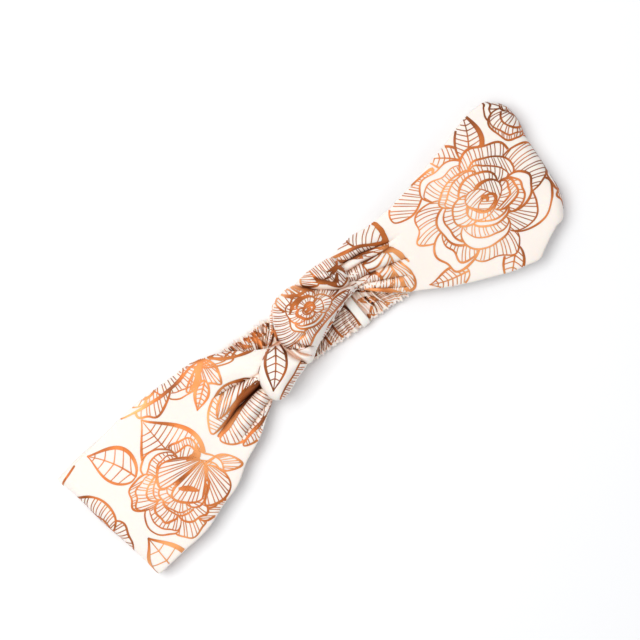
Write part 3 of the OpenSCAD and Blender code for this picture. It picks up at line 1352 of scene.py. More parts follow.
    def build(self) -> None:
        """Cuts the cloth and its foil into pieces, and lays in the seam allowances."""
        word = self.side.word
        front_cut = int(self.front_rows * self.front_share)
        back_cut = self.front_rows + self.fold_rows + int(self.back_rows * self.back_share)
        stretches = (
            ("front", 0, front_cut),
            ("end", front_cut, back_cut),
            ("gather", back_cut, self.rows),
        )
        outer_art, inner_art = draw_all(self.outer_print), draw_all(self.inner_print)
        for stretch, low, high in stretches:
            cloth = self.tube.piece(f"{word}_{stretch}_cloth", low, high)
            self.shop.dress(cloth, self.shop.cotton, "foil_printed_cotton")
            foils = [
                FoilPress(skin, self.place).ribbons(f"{word}_{stretch}_{kind}foil", art, low, high)
                for kind, skin, art in (("", self.outer, outer_art), ("inner_", self.inner, inner_art))
            ]
            if stretch == "front":
                press = FoilPress(self.outer, self.place_in_plan, raise_by=0.2)
                foils.append(press.ribbons(f"{word}_neck_foil", draw_all(self.neck_print), low, high))
            foils = [foil for foil in foils if foil]
            for foil in foils:
                self.shop.dress(foil, self.shop.foil, "foil_printed_cotton")
            for piece in (cloth, *foils):
                self._join(piece, stretch)
            if stretch == "front":
                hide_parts(f"{word}_front_band", f"{word}_neck")
            elif stretch == "end":
                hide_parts(f"{word}_end_fold", f"{word}_back_band")
            else:
                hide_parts(f"{word}_gathered_end")
        self._seams()

    def _join(self, piece: bpy.types.Object, stretch: str) -> None:
        """Gives the right band's front piece its body; every other piece stays where it is made.

        Args:
            piece: The piece.
            stretch: Which stretch of the band it is.
        """
        word = self.side.word
        if stretch == "front" and self.side is Side.LEFT:
            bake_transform(piece)
        elif stretch == "front":
            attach(piece, "right_front")
        elif stretch == "end":
            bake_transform(piece)
        else:
            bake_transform(piece)

    def _seams(self) -> None:
        """Lays the lengthwise seam allowances inside the tube."""
        word = self.side.word
        for layer, body in (("front", f"{word}_front"), ("back", f"{word}_flap")):
            low, high = node_box(f"{word}_{layer}_seam_allowance")
            front, back = slice(0, self.front_rows), slice(self.rows - self.back_rows + 2, self.rows)
            rows = front if layer == "front" else back
            part = self.middle[rows]
            x = part[:, self.columns // 2, 0]
            keep = (x > low[0]) & (x < high[0])
            part = part[keep]
            y = (low[1] + high[1]) / 2
            column = int(np.abs(part[len(part) // 2, :, 1] - y).argmin())
            column = int(np.clip(column, 8, self.columns - 9))
            strip = slice(column - self.seam_reach, column + self.seam_reach + 1)
            part = part[:, strip]
            up = self.normals[rows][keep][:, strip]
            offset = up * self.seam_half
            offset[[0, -1]] = 0
            outer, inner = Skin(part + offset, up), Skin(part - offset, -up)
            pattern = np.stack([part[..., 0], part[..., 1]], axis=-1)
            mesh = tube_mesh(outer, inner, pattern, (0, len(part) - 1))
            piece = mesh.piece(f"{word}_{layer}_seam_cloth")
            self.shop.dress(piece, self.shop.plain_cotton, "plain_cotton")
            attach(piece, body)
            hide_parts(f"{word}_{layer}_seam_allowance")


# ---------------------------------------------------------------------------
# Knot
# ---------------------------------------------------------------------------


@dataclass
class Lobe:
    """A puffed fold of strap in the knot, rounded over at its outline."""

    name: str
    node: str
    outline: tuple[Point, ...]
    heart: Point
    base: float
    crown: float
    shop: Workshop
    folds: tuple[Fold, ...] = ()
    motifs: tuple[Motif, ...] = ()
    fullness: float = 2.6
    shoulder: float = 0.5
    under: float = 3.0
    tilt: Point = (0.0, 0.0)
    rings: int = 40
    columns: int = 180
    seed: int = 1

    def __post_init__(self) -> None:
        """Lays out the rings."""
        edge = closed_curve(self.outline, self.columns)
        away = edge - np.array(self.heart)
        if np.cross(np.append(away[0], 0), np.append(away[1], 0))[2] < 0:
            edge, away = edge[::-1], away[::-1]
        angle = np.unwrap(np.arctan2(away[:, 1], away[:, 0]))
        even = angle[0] + np.linspace(0, 2 * math.pi, self.columns, endpoint=False)
        looped = np.append(angle, angle[0] + 2 * math.pi)
        reach = np.append(np.linalg.norm(away, axis=1), np.linalg.norm(away[0]))
        self.reach = np.interp(even, np.maximum.accumulate(looped), reach)
        self.angle0 = float(even[0])
        direction = np.stack([np.cos(even), np.sin(even)], axis=1)
        ring = np.sin(np.linspace(0, math.pi / 2, self.rings + 1))[:, None]
        flat = np.array(self.heart) + (ring * self.reach)[..., None] * direction
        top = np.concatenate([flat, np.zeros((*flat.shape[:2], 1))], axis=-1)
        top[..., 2] = self.base + self.crown * (1 - ring**self.fullness) ** self.shoulder
        centred = flat - np.array(self.heart)
        top[..., 2] += (centred @ np.array(self.tilt)) * (1 - ring**4)
        soft = (1 - ring**6) * 0.5
        top[..., 2] += soft * waves(flat[..., 0], flat[..., 1], 11.0, self.seed)
        for fold in self.folds:
            before = top[..., 2].copy()
            fold.press(top)
            top[..., 2] = before + (top[..., 2] - before) * (1 - ring**8)
        down = np.sin(np.linspace(math.pi / 2, 0, 10))[1:, None]
        below = np.array(self.heart) + (down * self.reach)[..., None] * direction
        bottom = np.concatenate([below, np.zeros((*below.shape[:2], 1))], axis=-1)
        bottom[..., 2] = self.base - self.under * (1 - down**2.5) ** 0.5
        self.skin = Skin(top, grid_normals(top, wrap=True), wrap=True)
        pattern = np.concatenate([flat, below])
        self.mesh = lobe_mesh(self.skin, bottom, pattern)
        if self.skin.normals[self.rings // 2, 0, 2] < 0:
            self.skin.normals *= -1
        self.mesh.face_along(self.columns * (self.rings // 4), UP)

    def place(self, p: Array, q: Array) -> tuple[Array, Array]:
        """Rows and columns for places on the print, which is drawn in plan.

        Args:
            p: X.
            q: Y.

        Returns:
            Rows and columns of the top skin.
        """
        x, y = p - self.heart[0], q - self.heart[1]
        turn = (np.arctan2(y, x) - self.angle0) % (2 * math.pi)
        columns = turn / (2 * math.pi) * self.columns
        reach = np.interp(columns, np.arange(self.columns + 1), np.append(self.reach, self.reach[0]))
        share = np.hypot(x, y) / reach
        rows = np.arcsin(np.clip(share, 0, 1)) / (math.pi / 2) * self.rings
        return np.where(share < 0.995, rows, -1.0), columns

    def build(self) -> None:
        """Makes the lobe and its foil."""
        cloth = self.mesh.piece(self.name)
        self.shop.dress(cloth, self.shop.cotton, "foil_printed_cotton")
        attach(cloth, "knot")
        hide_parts(self.node)
        if self.motifs:
            press = FoilPress(self.skin, self.place)
            foil = press.ribbons(f"{self.name}_foil", draw_all(self.motifs), 0.0, float(self.rings))
            if foil:
                self.shop.dress(foil, self.shop.foil, "foil_printed_cotton")
                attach(foil, "knot")


# ---------------------------------------------------------------------------
# Casing
# ---------------------------------------------------------------------------


@dataclass
class Casing:
    """The ruched tube over the elastic, its hems and the strip over its join."""

    shop: Workshop
    turn: float = -7.0
    frill: float = 1.6
    pucker: float = 2.9  # spacing of the gathers
    cut_width: float = 62.0  # the tube's cloth, cut open
    fullness: float = 1.5  # its length before gathering, as a share of the gathered length
    strip_width: float = 4.0
    half_width: float = 13.4
    rows: int = 360
    columns: int = 96
    seed: int = 11

    def __post_init__(self) -> None:
        """Takes the tube's place from the frame."""
        low, high = node_box("left_casing_end")
        self.left_x = low[0]
        low, high = node_box("right_casing_end")
        self.right_x = high[0]
        low, high = node_box("elastic_casing")
        self.height = high[2] - low[2]
        low, high = node_box("casing_join_strip")
        self.strip_x = (low[0] + high[0]) / 2
        low, high = node_box("elastic_strip")
        self.centre_y = (low[1] + high[1]) / 2

    def build(self) -> None:
        """Makes every piece of the casing."""
        self._tube()
        self._strip()
        for side in Side:
            self._hem(side)
        for node, material in (
            ("elastic_strip", self.shop.elastic),
            ("casing_seam_allowance", self.shop.plain_cotton),
            ("left_hem_topstitch", self.shop.thread),
            ("right_hem_topstitch", self.shop.thread),
            ("left_elastic_bartack", self.shop.thread),
            ("right_elastic_bartack", self.shop.thread),
        ):
            kept = bpy.data.objects[node].data
            kept.materials.clear()
            kept.materials.append(material)
            LOG.info("%s: kept from the frame", node)

    def _section(self, along: Array, around: Array) -> Array:
        """Points of the ruched tube.

        Args:
            along: Distance along the casing from its middle.
            around: Angle round the section, 0 at the upper edge.

        Returns:
            Points in plan and height.
        """
        c, s = np.cos(around), np.sin(around)
        edge = np.abs(c) ** 5
        drift = 1.3 * waves(along, c * 14, 17.0, self.seed)
        phase = 2 * math.pi * (along + drift) / self.pucker
        strength = 1 + 0.45 * waves(along, c * 9, 9.0, self.seed + 1)
        gather = strength * (0.8 * np.sin(phase) + 0.3 * np.sin(1.63 * phase + 3 * c + 1.3))
        side = np.where(c > 0, 1.9, 0.0)
        ruffle = np.sin(phase * 1.03 + side) + 0.7 * np.sin(phase * 0.61 + 2 * side)
        frill = edge * strength * ruffle * 0.75
        reach = 0.5 + 0.3 * np.sin(phase * 0.83 + side) + 0.25 * np.sin(phase * 1.9 + 1.0)
        across = c * (self.half_width - 0.6 + self.frill * edge * strength * reach)
        plump = (self.height / 2 - 0.9) * np.sign(s) * np.abs(s) ** 0.55
        out = gather * np.abs(s) ** 0.7
        height = self.height / 2 + plump + out * np.sign(s) * 0.75 + frill
        height = np.maximum(height, 0.05 + 0.1 * np.abs(c))
        angle = math.radians(self.turn)
        x = along * math.cos(angle) - across * math.sin(angle)
        y = self.centre_y + along * math.sin(angle) + across * math.cos(angle)
        return np.stack([x, y, np.minimum(height, self.height + 0.4)], axis=-1)

    def _tube(self) -> None:
        """The ruched tube in two halves, each of which stretches towards its hem."""
        half = self.right_x / math.cos(math.radians(self.turn)) - 0.3
        along = np.linspace(-half, half, self.rows + 1)[:, None]
        around = np.linspace(0, 2 * math.pi, self.columns, endpoint=False)[None, :]
        lean = np.cos(around) * self.half_width * math.tan(math.radians(self.turn))
        points = self._section(along * (1 + 0 * around) + lean * (np.abs(along) / half), around)
        index = np.arange(points.shape[0] * self.columns).reshape(-1, self.columns)
        beside = np.roll(index, -1, axis=1)
        faces = np.stack([index[:-1], beside[:-1], beside[1:], index[1:]], -1).reshape(-1, 4)
        row_of = np.repeat(np.arange(self.rows), self.columns)
        pattern = np.stack([along * 2 + 0 * around, np.cos(around) * 13 + 0 * along], axis=-1)
        pattern = pattern.reshape(-1, 2)
        mesh = ClothMesh(points.reshape(-1, 3), faces, row_of, pattern)
        normals = grid_normals(points, wrap=True)
        mesh.face_along(self.columns * 50 + self.columns // 4, UP)  # a point on its upper face
        normals *= np.sign((normals * mesh.normals.reshape(points.shape)).sum())
        skin = Skin(points, normals, wrap=True)
        middle = self.rows // 2
        art = {"top": draw_all(CASING_PRINT), "under": draw_all(CASING_UNDER_PRINT)}
        quarter = self.columns / 4

        def place_on(upward: bool) -> Placer:
            """Gives the placer for one face of the tube.

            Args:
                upward: Whether it is the upper face.

            Returns:
                The placer.
            """

            def place(p: Array, q: Array) -> tuple[Array, Array]:
                """Rows and columns for plan places along and across the casing."""
                rows = (p + half) / (2 * half) * self.rows
                share = np.clip(q / (self.half_width + 0.6), -1, 1)
                turn = np.arccos(share) / (math.pi / 2) * quarter
                good = np.abs(q) < self.half_width
                return np.where(good, rows, -9.0), turn if upward else self.columns - turn

            return place

        for side, low, high in ((Side.LEFT, 0, middle), (Side.RIGHT, middle, self.rows)):
            cloth = mesh.piece(f"{side.word}_casing_cloth", low, high)
            self.shop.dress(cloth, self.shop.cotton, "ruched_cotton")
            pieces = [cloth]
            for face, upward in (("top", True), ("under", False)):
                foil = FoilPress(skin, place_on(upward)).ribbons(
                    f"{side.word}_casing_{face}_foil", art[face], low, high
                )
                if foil:
                    self.shop.dress(foil, self.shop.foil, "foil_printed_cotton")
                    pieces.append(foil)
            for piece in pieces:
                f"{side.word}_casing"
                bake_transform(piece)
            nodes = [f"{side.word}_casing_end"] + (["elastic_casing"] if side is Side.LEFT else [])
            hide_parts(*nodes)

    def _strip(self) -> None:
        """The plain strip over the join, lapped round the casing's edges."""
        rows, columns = 40, 9
        around = np.linspace(-0.62, 0.62, rows) * math.pi / 1.15
        across = np.linspace(-1, 1, columns)
        y = np.sin(np.clip(around, -math.pi / 2, math.pi / 2)) * (self.half_width + 0.5)
        z = self.height + 0.1 - 2.6 * np.abs(np.sin(around)) ** 9
        width = self.strip_width / 2 * (1 + 0.04 * np.sin(np.linspace(0, 9, rows)))
        points = np.zeros((rows, columns, 3))
        lean = math.tan(math.radians(self.turn))
        points[..., 0] = self.strip_x - y[:, None] * lean * 0.4 + across * width[:, None]
        points[..., 1] = self.centre_y + self.strip_x * lean + y[:, None]
        points[..., 2] = z[:, None] + 0.3 * (1 - across**4)
        up = grid_normals(points)
        up = up * np.sign(up[rows // 2, columns // 2, 2])
        offset = up * 0.22
        offset[[0, -1]] = 0
        pattern = points[..., :2]
        mesh = tube_mesh(Skin(points + offset, up), Skin(points - offset, -up), pattern, (0, rows - 1))
        piece = mesh.piece("casing_join_cloth")
        self.shop.dress(piece, self.shop.plain_cotton, "plain_cotton")
        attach(piece, "casing")
        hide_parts("casing_join_strip")

    def _hem(self, side: Side) -> None:
        """A folded hem: a flat turned end with a soft lip over the gathers.

        Args:
            side: Which end of the casing.
        """
        low, high = node_box(f"{side.word}_casing_hem")
        bpy.ops.object.select_all(action="DESELECT")
        centre, size = (low + high) / 2 * MM, (high - low) * MM
        bpy.ops.mesh.primitive_cube_add(size=1, location=centre)
        hem = bpy.context.object
        hem.name = f"{side.word}_hem_cloth"
        hem.scale = size * np.array([1.0, 1.0, 0.94])
        bpy.ops.object.transform_apply(location=True, rotation=False, scale=True)
        bpy.ops.object.mode_set(mode="EDIT")
        bpy.ops.mesh.select_all(action="SELECT")
        bpy.ops.mesh.bevel(offset=1.3 * MM, segments=4)
        bpy.ops.mesh.select_all(action="SELECT")
        bpy.ops.mesh.subdivide(number_cuts=3)
        bpy.ops.object.mode_set(mode="OBJECT")
        for vertex in hem.data.vertices:
            x, y, z = (c / MM for c in vertex.co)
            vertex.co.z += 0.22 * MM * math.sin(y * 2.1 + x * 0.4) * (z > self.height / 2)
            vertex.co.x += 0.18 * MM * math.sin(y * 1.3 + z)
        bpy.ops.object.shade_smooth()
        self.shop.dress(hem, self.shop.plain_cotton, "ruched_cotton")
        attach(hem, f"{side.word}_casing")
        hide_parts(f"{side.word}_casing_hem")


# ---------------------------------------------------------------------------
# Layout of this headband
# ---------------------------------------------------------------------------

LEFT_PRINT: tuple[Motif, ...] = (
    Rose((-137, 4), (18, 23), seed=5, lean=(0.1, 0), petals=(5, 4)),
    Leaf((-117, -38), (-115.5, -11.5), 17, edges=(2, 2.2), veins=5.5),
    Sweep(((-131.5, 31.2), (-124, 32.2), (-118.5, 33.6), (-114.5, 35)), 1),
    Leaf((-101.5, 12), (-111.6, 33), 15.5, bend=-1.5, edges=(1.1, 1.7), veins=4.4),
    Leaf((-82, -6), (-83, 29), 27, bend=1, edges=(1.4, 2), veins=2.5),
    Rose((-60, 47), (33, 24), seed=21, petals=(9, 7, 5), hatch=1.9),
    Panel(
        ((-74, -4.5), (-68, -5.2), (-64, -9.5), (-63, -15), (-68, -14), (-73, -10)), (-79, -1), hatch=1.3,
    ),
    Rose((-92, -5), (21.5, 21), seed=8, lean=(0.05, -0.08), turn=20, petals=(7, 6, 4)),
    Panel(
        ((-75.5, -1), (-82, 5.6), (-90, 8.6), (-95.5, 4.6), (-96, 0), (-86, -1.6)), (-71, -2.6), hatch=1.9,
        line=0.4,
    ),
    Panel(
        ((-75.5, -5), (-80, -12), (-87, -17.5), (-80, -21), (-73, -18.5), (-71.5, -11)), (-75, 0),
        hatch=1.9, line=0.4,
    ),
    Panel(
        ((-75.5, -2.6), (-86, -2.2), (-95, -4.4), (-94, -9.6), (-87, -14.6), (-80, -9.6)), (-71, -2),
        hatch=1.9, line=0.4,
    ),
    Sweep(((-91, -4.4), (-87.5, -7.4), (-85, -11)), 2.6),
    Sweep(((-80, 3), (-75, 1), (-72.4, 5)), 3.2),
    Sweep(((-76.4, -7.4), (-75, -4), (-68, -4.9)), 1.3),
    # Underside, past the fold
    Rose((-168, 6), (27, 22), seed=41),
    Leaf((-196, 24), (-184, 4), 11),
    Rose((-206, -12), (17, 20), seed=43),
)

RIGHT_PRINT: tuple[Motif, ...] = (
    Panel(((57.5, 19), (60, 24.6), (72, 26), (86, 25.4), (76, 20), (66, 16)), (96, -6)),
    Leaf((91, -24), (76, -36.5), 9, edges=(1.2, 1)),
    Leaf((98.8, 18.5), (85.5, 31), 10.5, bend=-1, edges=(1, 1.1), veins=2.3),
    Leaf((99, 16.5), (112, 36), 12, bend=-1.5, edges=(1, 2.2), veins=2.4),
    Leaf((68, -18.6), (50.8, -13.6), 9.5, edges=(0.9, 1), veins=2.1),
    Rose((131.5, 21), (15, 14), seed=55, petals=(5, 4)),
    Rose((135, -20), (18, 14), seed=57, petals=(6, 4)),
    Rose((90.8, -1), (33, 24.5), seed=12, lean=(0.08, 0.06), turn=-8, petals=(7, 5, 4), hatch=1.9),
    # Underside, past the fold
    Rose((172, 2), (26, 22), seed=62),
    Leaf((190, 20), (204, 6), 12),
    Rose((212, -14), (18, 18), seed=64),
)

LEFT_NECK_PRINT: tuple[Motif, ...] = (
    Panel(((-60, 24.5), (-50, 21), (-46, 17.5), (-43, 24), (-45, 30), (-52, 29)), (-46, 33)),
    Leaf((-50.5, 23), (-62, 15.5), 6, edges=(1, 1.4), veins=2.2),
    Sweep(((-58, 24), (-53, 25.5), (-47.5, 30), (-42, 31.5)), 2.6),
    Sweep(((-88, 34.6), (-80, 32.6), (-70, 30.8), (-60, 30.4), (-52, 31.8), (-46, 31)), 1.5),
    Panel(
        ((-43, 30), (-36, 27), (-30, 23.5), (-26, 19), (-31, 20), (-38, 24)), (-50, 60), hatch=2.1,
        edge=1.4,
    ),
    Panel(
        ((-64, 3.5), (-61, 9.5), (-56, 13.5), (-49, 16), (-42, 15), (-34, 9.8), (-44, 7.5), (-56, 4.6)),
        (-50, -20), hatch=1.9,
    ),
    Panel(((-57, 6.6), (-53, 11.5), (-46, 13.2), (-34, 9.4), (-44, 8.4)), (-70, 0), hatch=1.5, edge=0.8),
    # Print along the valley, drawn denser and bolder than elsewhere as painted shade for the valley.
    Panel(
        ((-63, 1), (-56, 3.8), (-48, 6.8), (-34, 8), (-34, 4), (-46, 3), (-56, 0.6)), (-10, 5.4),
        hatch=0.85, edge=1.3, line=0.5,
    ),
    Panel(
        ((-63, -0.6), (-60, -6), (-52, -9), (-44, -7), (-34, -1.4), (-34, 3.4), (-46, 2.6), (-56, 0.2)),
        (-46, 28), hatch=1.9,
    ),
    Panel(((-57, -9), (-51, -11.6), (-42, -9), (-36, -3.2), (-45, -6.6)), (-46, 10), hatch=1.5),
)

RIGHT_NECK_PRINT: tuple[Motif, ...] = (
    Panel(
        ((24, 24), (27, 26.4), (34, 26.6), (37.4, 26.6), (37.6, 22.6), (31, 21), (26, 21.6)), (50, 20),
        hatch=2, edge=0.8,
    ),
    Panel(
        ((37.2, 23), (37.2, 27), (44, 27.4), (50, 25.6), (51, 20), (49.6, 15), (44, 17.6)), (28, 12),
        hatch=2.5,
    ),
    Panel(
        ((26, 24.6), (32, 23.6), (40, 21.4), (49.6, 15.4), (42, 17.6), (33, 20.4)), (34, 60), hatch=1.5,
        edge=1,
    ),
    Panel(
        ((26, 20.6), (33, 20), (42, 17.2), (49, 13), (42, 12.6), (34, 15), (26, 17.4)), (90, -2), hatch=2.2,
        edge=1.3,
    ),
    Panel(((24.6, 17), (30, 16.4), (36.4, 13.6), (36.6, 8), (30, 10), (25.6, 13.4)), (16, -10), hatch=1.2),
    Panel(
        ((34.6, 13.6), (42, 12.6), (46, 11), (44.4, 4), (38, 3.6), (36.4, 8.4)), (70, 12), hatch=1.5,
        edge=0.8, bow=0.1,
    ),
    Panel(((24.4, 11), (30, 9.6), (36.4, 7.6), (37, 3.8), (31.6, 3.4), (27.4, 7.4)), (50, 24), hatch=1.35),
    Panel(((28.6, 5.2), (34, 3.6), (43.6, 2.4), (44, -0.6), (37.4, 0.2), (32, 1.4)), (60, 16), hatch=1.5),
    Panel(((31, 1.8), (38, -0.6), (43.8, 1.4), (42, -5), (41, -7.6), (36, -2.6)), (24, -16), hatch=1.25),
    Panel(
        ((44, 8), (47.6, 3.6), (48.6, -2.6), (46, -7.6), (42.4, -7), (43, 0)), (40, 20), hatch=1.4, bow=0.1,
    ),
    Sweep(((49, 26.8), (50.9, 24), (50.8, 20), (49, 16), (46, 14)), 2.4),
    Sweep(((32, 19.8), (38, 17.6), (44, 14.8), (49.4, 12.6)), 1.6),
    Sweep(((26, 20.6), (31, 19.8), (37, 17.2)), 1.5),
    Sweep(((44.6, 11.6), (48.6, 10.6), (50.2, 6.6), (50.8, 1.8)), 2.4),
    Sweep(((28.6, 5.6), (34, 0.6), (41, -7.4)), 1.2),
    Sweep(((43.4, 2.6), (43, -2), (41.4, -7.4)), 1.8),
)

INNER_PRINT: tuple[Motif, ...] = (
    Rose((60, 6), (22, 20), seed=71),
    Leaf((84, 20), (98, 30), 11),
    Rose((110, -6), (26, 22), seed=72),
    Rose((160, 10), (24, 20), seed=73),
    Leaf((184, -16), (200, -4), 11),
    Rose((210, 10), (18, 20), seed=74),
)

CASING_PRINT: tuple[Motif, ...] = (
    Rose((-40, -7), (9, 10), seed=81, petals=(5, 4), hatch=1.5),
    Rose((-14, -4), (10, 11), seed=82, petals=(6, 4), hatch=1.4),
    Rose((3, 7), (11, 9), seed=83, petals=(6, 4), hatch=1.4),
    Leaf((-30, -12), (-24, 0), 6),
    Rose((34, 7), (10, 10), seed=84, petals=(5, 4), hatch=1.5),
    Leaf((24, 12), (26, 0), 6),
    Leaf((44, 13), (48, -2), 6),
    Panel(((-50, 12), (-40, 15), (-31, 13), (-33, 5), (-42, 2)), (-44, 40), hatch=1.6),
    Panel(((-33, 14), (-26, 15), (-22, 11), (-25, 3), (-31, 4)), (-30, -8), hatch=1.4, edge=1.4),
    Panel(((-21, 15), (-13, 15), (-10, 8), (-16, 3), (-22, 6)), (-26, 0), hatch=1.4, edge=1.3),
    Sweep(((-31, 14), (-29, 10), (-26, 8)), 2.2),
    Sweep(((-27, 13), (-23, 9), (-21, 5)), 2.8),
    Sweep(((-23, 14), (-21.6, 11), (-18, 9)), 2.4),
    Sweep(((-17, 14), (-14, 10), (-15, 5)), 2.6),
    Sweep(((-1, -10), (3, -8), (7, -3)), 1.6),
    Panel(((-6, -5), (-2, -8), (4, -6), (6, -13), (0, -14.5), (-6, -12)), (-16, -30), hatch=1.3),
    Panel(((3, -3), (8, -2), (8.5, -14.5), (3, -14.5)), (40, 8), hatch=1.3, edge=1.1),
    Panel(((8.5, -1), (16.5, -1), (17, -14.6), (9, -14.6)), (70, -6), hatch=1.25, edge=1),
    Sweep(((23, -3.2), (28, -6), (30.6, -13)), 3.6),
    Sweep(((22, -14), (25.6, -9.8), (31, -8.6)), 3.4),
    Sweep(((25, -3), (29.6, -8), (34, -14)), 2.2),
    Panel(((24, -12), (30, -14.6), (33, -11), (29, -8)), (30, -2), hatch=1.6, edge=1.2),
    Panel(((31, -1), (37, -3), (44, -8), (44, -14.6), (36, -14.6), (31, -9)), (20, -6), hatch=1.3),
)

CASING_UNDER_PRINT: tuple[Motif, ...] = (
    Rose((-36, 0), (10, 15), seed=91, petals=(5, 4), hatch=1.5),
    Leaf((-18, -8), (-10, 8), 7),
    Rose((4, 2), (10, 15), seed=92, petals=(5, 4), hatch=1.5),
    Rose((34, -2), (10, 15), seed=93, petals=(5, 4), hatch=1.5),
)


def left_band(shop: Workshop) -> Band:
    """The band on the left of the knot.

    Args:
        shop: Finishes.

    Returns:
        The band.
    """
    return Band(
        side=Side.LEFT,
        shop=shop,
        neck_x=-14,
        upper=(
            (-12, 13), (-21.2, 15.3), (-28.2, 20.3), (-35.2, 26), (-42.2, 30), (-50.2, 33.2), (-62, 34.4),
            (-80, 36), (-98, 35.4), (-112, 34.6), (-128, 33.7),
        ),
        lower=(
            (-12, -1), (-22, -2), (-34, -3.2), (-41, -7), (-48, -11), (-62, -16.2), (-70, -20.5),
            (-82, -23.2), (-92, -26), (-110, -26.6), (-122, -27),
        ),
        end=((0, -124.2), (0.06, -123.8), (0.5, -126.2), (0.94, -128.6), (1, -129.6)),
        back_upper=((-58, 29), (-70, 29.6), (-84, 32), (-100, 35), (-112, 35.6), (-128, 34.8)),
        back_lower=((-58, 4.8), (-70, 3), (-82, -8), (-94, -20), (-106, -25.6), (-122, -26.4)),
        folds=(
            Fold(((-66, 0.4), (-49, 4.4), (-34, 5.6), (-14, 5.6)), 1.7, -5, pinch=1, fade_in=0.42),
            Fold(((-62, 8.5), (-46, 9.4), (-34, 8.6), (-20, 8)), 2.2, 2.2),
            Fold(((-56, 15.5), (-46, 13.6), (-34, 9.8), (-24, 8.5)), 1.1, -3.2, pinch=0.7),
            Fold(((-62, -3.4), (-48, -1.4), (-34, 1.4)), 1.8, 1.4),
            Fold(((-60, -7.5), (-48, -5), (-33, -1)), 1.1, -2.8, pinch=0.6, fade_in=0.6),
            Fold(((-54, -11), (-44, -7.4), (-33, -2.6)), 1, -1.6, pinch=0.3, fade_in=0.6),
            Fold(((-58, 24), (-44, 21), (-30, 14.5), (-22, 12)), 4.5, 1.8),
            Fold(((-92, 8), (-78, 7), (-64, 4)), 7, 0.8, fade_in=0.5, fade_out=0.4),
        ),
        outer_print=LEFT_PRINT,
        neck_print=LEFT_NECK_PRINT,
        inner_print=tuple((mirrored(motif) for motif in INNER_PRINT)),
        seed=3,
    )


def right_band(shop: Workshop) -> Band:
    """The band on the right of the knot.

    Args:
        shop: Finishes.

    Returns:
        The band.
    """
    return Band(
        side=Side.RIGHT,
        shop=shop,
        neck_x=24,
        upper=(
            (20, 26.5), (26, 26.4), (34, 27), (40, 27.3), (46, 26), (52, 25.5), (60, 25.2), (66, 25.8),
            (76, 26.8), (88, 28.6), (98, 30), (106, 31.8), (113, 32.9), (119, 32.4), (124.5, 29),
        ),
        lower=(
            (20, 7.5), (26, 8), (29, 4.8), (33, 0), (38, -4.5), (42, -7.8), (48, -12), (58, -19),
            (70, -25.7), (76, -28.8), (82, -31.8), (89, -34.2), (94.5, -35.8), (100, -33.6), (106, -31.2),
            (114, -28.5),
        ),
        end=((0, 115), (0.1, 119.8), (0.33, 123.8), (0.6, 126.2), (0.84, 128.9), (0.94, 127.8), (1, 123.6)),
        back_upper=((58, 15.4), (70, 16), (84, 24), (98, 29), (112, 32), (124, 29)),
        back_lower=((58, -9.2), (70, -10.6), (82, -20), (94, -28), (106, -28.6), (116, -27)),
        folds=(
            Fold(((58, 13), (49, 14.6), (38, 19), (23, 21.4)), 1.1, -3.8, pinch=0.8, fade_in=0.45),
            Fold(((58, 19), (48, 19.6), (36, 23.4), (23, 24.6)), 2.4, 1.6, fade_in=0.4),
            Fold(((56, 11.4), (46, 12.6), (36, 15.6), (23, 17.6)), 1.2, -3.6, pinch=0.7, fade_in=0.45),
            Fold(((54, 13), (44, 14.6), (34, 17.6), (24, 19.4)), 1.2, 1, fade_in=0.4),
            Fold(((56, 2), (46, 6), (37, 9.4), (23, 13.4)), 1.3, -3, pinch=0.7, fade_in=0.45),
            Fold(((52, 8), (42, 10), (33, 12.8), (24, 15.4)), 1.6, 1.2, fade_in=0.4),
            Fold(((50, -4), (40, 2), (31, 7.6), (23, 11.2)), 1.1, -2.4, pinch=0.5, fade_in=0.45),
            Fold(((48, -9), (40, -3), (33, 3), (26, 8.8)), 1, -1.4, pinch=0.3),
        ),
        outer_print=RIGHT_PRINT,
        neck_print=RIGHT_NECK_PRINT,
        inner_print=INNER_PRINT,
        seed=17,
    )


def mirrored(motif: Motif) -> Motif:
    """A motif on the other side of the knot.

    Args:
        motif: A rose or a leaf.

    Returns:
        The same motif with X reversed.
    """
    if isinstance(motif, Rose):
        return Rose((-motif.centre[0], motif.centre[1]), motif.reach, motif.seed + 100, petals=motif.petals)
    if isinstance(motif, Leaf):
        return Leaf((-motif.base[0], motif.base[1]), (-motif.tip[0], motif.tip[1]), motif.width)
    return motif


